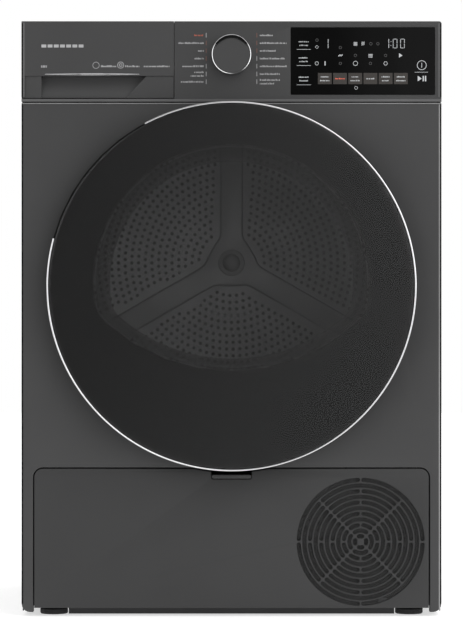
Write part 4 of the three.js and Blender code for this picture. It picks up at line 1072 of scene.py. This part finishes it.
def add_back():
    low, high = DUCT
    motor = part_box("motor_shaft")
    motor_x, motor_z = (motor[0][0] + motor[1][0]) / 2, (motor[0][2] + motor[1][2]) / 2
    cover = plate_mesh([two_circles(0, DRUM_Z, 208 * MM, motor_x, motor_z, 70 * MM)], low[1], high[1] - 2.5 * MM, 5 * MM, 5)
    flange = plate_mesh([two_circles(0, DRUM_Z, 222 * MM, motor_x, motor_z, 84 * MM)], low[1], low[1] + 1.6 * MM, 0.5 * MM, 2)
    ribs = [plate_mesh([circle(0, DRUM_Z, r * MM, 96), circle(0, DRUM_Z, (r - 9) * MM, 96)], high[1] - 4 * MM, high[1], 1.3 * MM, 3)
            for r in (170, 110)]
    make_piece("duct_cover_pressing", joined([cover, flange, *ribs]), "zinc", "root", ["rear_duct_cover"])
    # Painted shade: a black sheet inside the duct that keeps the drum holes dark.
    lining = plate_mesh([circle(0, DRUM_Z, 204 * MM, 96), circle(0, DRUM_Z, 40 * MM, 48)], low[1] - 0.15 * MM, low[1] + 0.2 * MM)
    make_piece("duct_painted_shade_sheet", lining, "shade_sheet", "root")
    r_low, r_high = REAR
    sheet = [rounded(r_low[0], r_high[0], r_low[2], r_high[2], 4 * MM)]
    for row in range(6):
        for column in range(3):
            x0 = (-262 + column * 46) * MM
            z0 = (40 + row * 14) * MM
            sheet.append(rounded(x0, x0 + 38 * MM, z0, z0 + 5 * MM, 2.4 * MM, 5))
    sheet += air_slots(85 * MM, 195 * MM, 0.4)
    # Painted shade: a black sheet inside the rear panel, behind the drum holes, that keeps them dark.
    shade_sheet = [circle(0, DRUM_Z, 272 * MM, 96), circle(0, DRUM_Z, 34 * MM, 32), *air_slots(83 * MM, 197 * MM, 0.41)]
    make_piece("rear_painted_shade_sheet", plate_mesh(shade_sheet, r_low[1] - 3 * MM, r_low[1] - 0.3 * MM, 0.6 * MM, 2), "shade_sheet", "root")
    sheet.append(circle(motor_x, motor_z, 58 * MM, 48))
    make_piece("rear_sheet", plate_mesh(sheet, r_low[1], r_high[1], 0.6 * MM, 2), "zinc", "root", ["rear_panel"])
    screws = []
    spots = [(216 * MM * math.cos(a), DRUM_Z + 216 * MM * math.sin(a)) for a in (0.1, 0.8, 1.57, 2.34, 3.04, 3.75)]
    base = low[1] + 1.6 * MM
    for x, z in spots:
        screws.append(screw_head(x, z, base))
    for x in (-287, 287):
        for z in (30, 230, 430, 630, 815):
            screws.append(screw_head(x * MM, z * MM, r_high[1]))
    make_piece("rear_screws", joined(screws), "steel", "root")


def screw_head(x, z, y):
    """A flanged hexagon screw head that faces the back."""
    flange = turned_mesh([(0, y), (5.5 * MM, y), (5.2 * MM, y + 1.0 * MM), (0, y + 1.2 * MM)], x, z, 32)
    head = plate_mesh([circle(x, z, 4.0 * MM, 6)], y + 0.8 * MM, y + 4.2 * MM, 0.5 * MM, 2)
    return joined([flange, head])


# ---- the CAD nodes that stay ----
KEPT = {
    "dark": ["base_module", "cord_gland", "control_electronics", "belt_idler", "cooling_fan_frame", "cooling_fan_rotor",
             "compressor", "condensate_pump", "door_latch"],
    "black": ["door_frame"],
    "grey": ["tank_housing", "exchanger_duct", "exchanger_cover", "fan_housing", "process_fan"],
    "pale": ["cover_lever_left", "cover_lever_right"],
    "rubber": ["foot_front_left", "foot_front_right", "foot_rear_left", "foot_rear_right", "drum_roller_left",
               "drum_roller_right", "drum_belt"],
    "steel": ["motor_shaft", "door_hinge_pin", "door_striker", "hinge_bracket"],
    "zinc": ["motor_body"],
    "alu": ["rear_bearing", "evaporator", "condenser"],
    "copper": ["refrigerant_pipe"],
    "tank": ["water_tank", "tank_lid"],
}


def dress_kept_nodes():
    for material, names in KEPT.items():
        for name in names:
            obj = NODES[name]
            obj.data.materials.clear()
            obj.data.materials.append(MATS[material])
            edge = obj.modifiers.new("edge", "BEVEL")
            edge.width = 0.5 * MM
            edge.segments = 2
            edge.limit_method = "ANGLE"
            edge.angle_limit = math.radians(40)


add_stage()
add_cabinet()
add_edge_lines()
add_drawer()
add_control_panel()
add_knob()
add_dial_marks()
add_display()
add_door()
add_drum()
add_bulkhead()
add_flap()
add_back()
dress_kept_nodes()
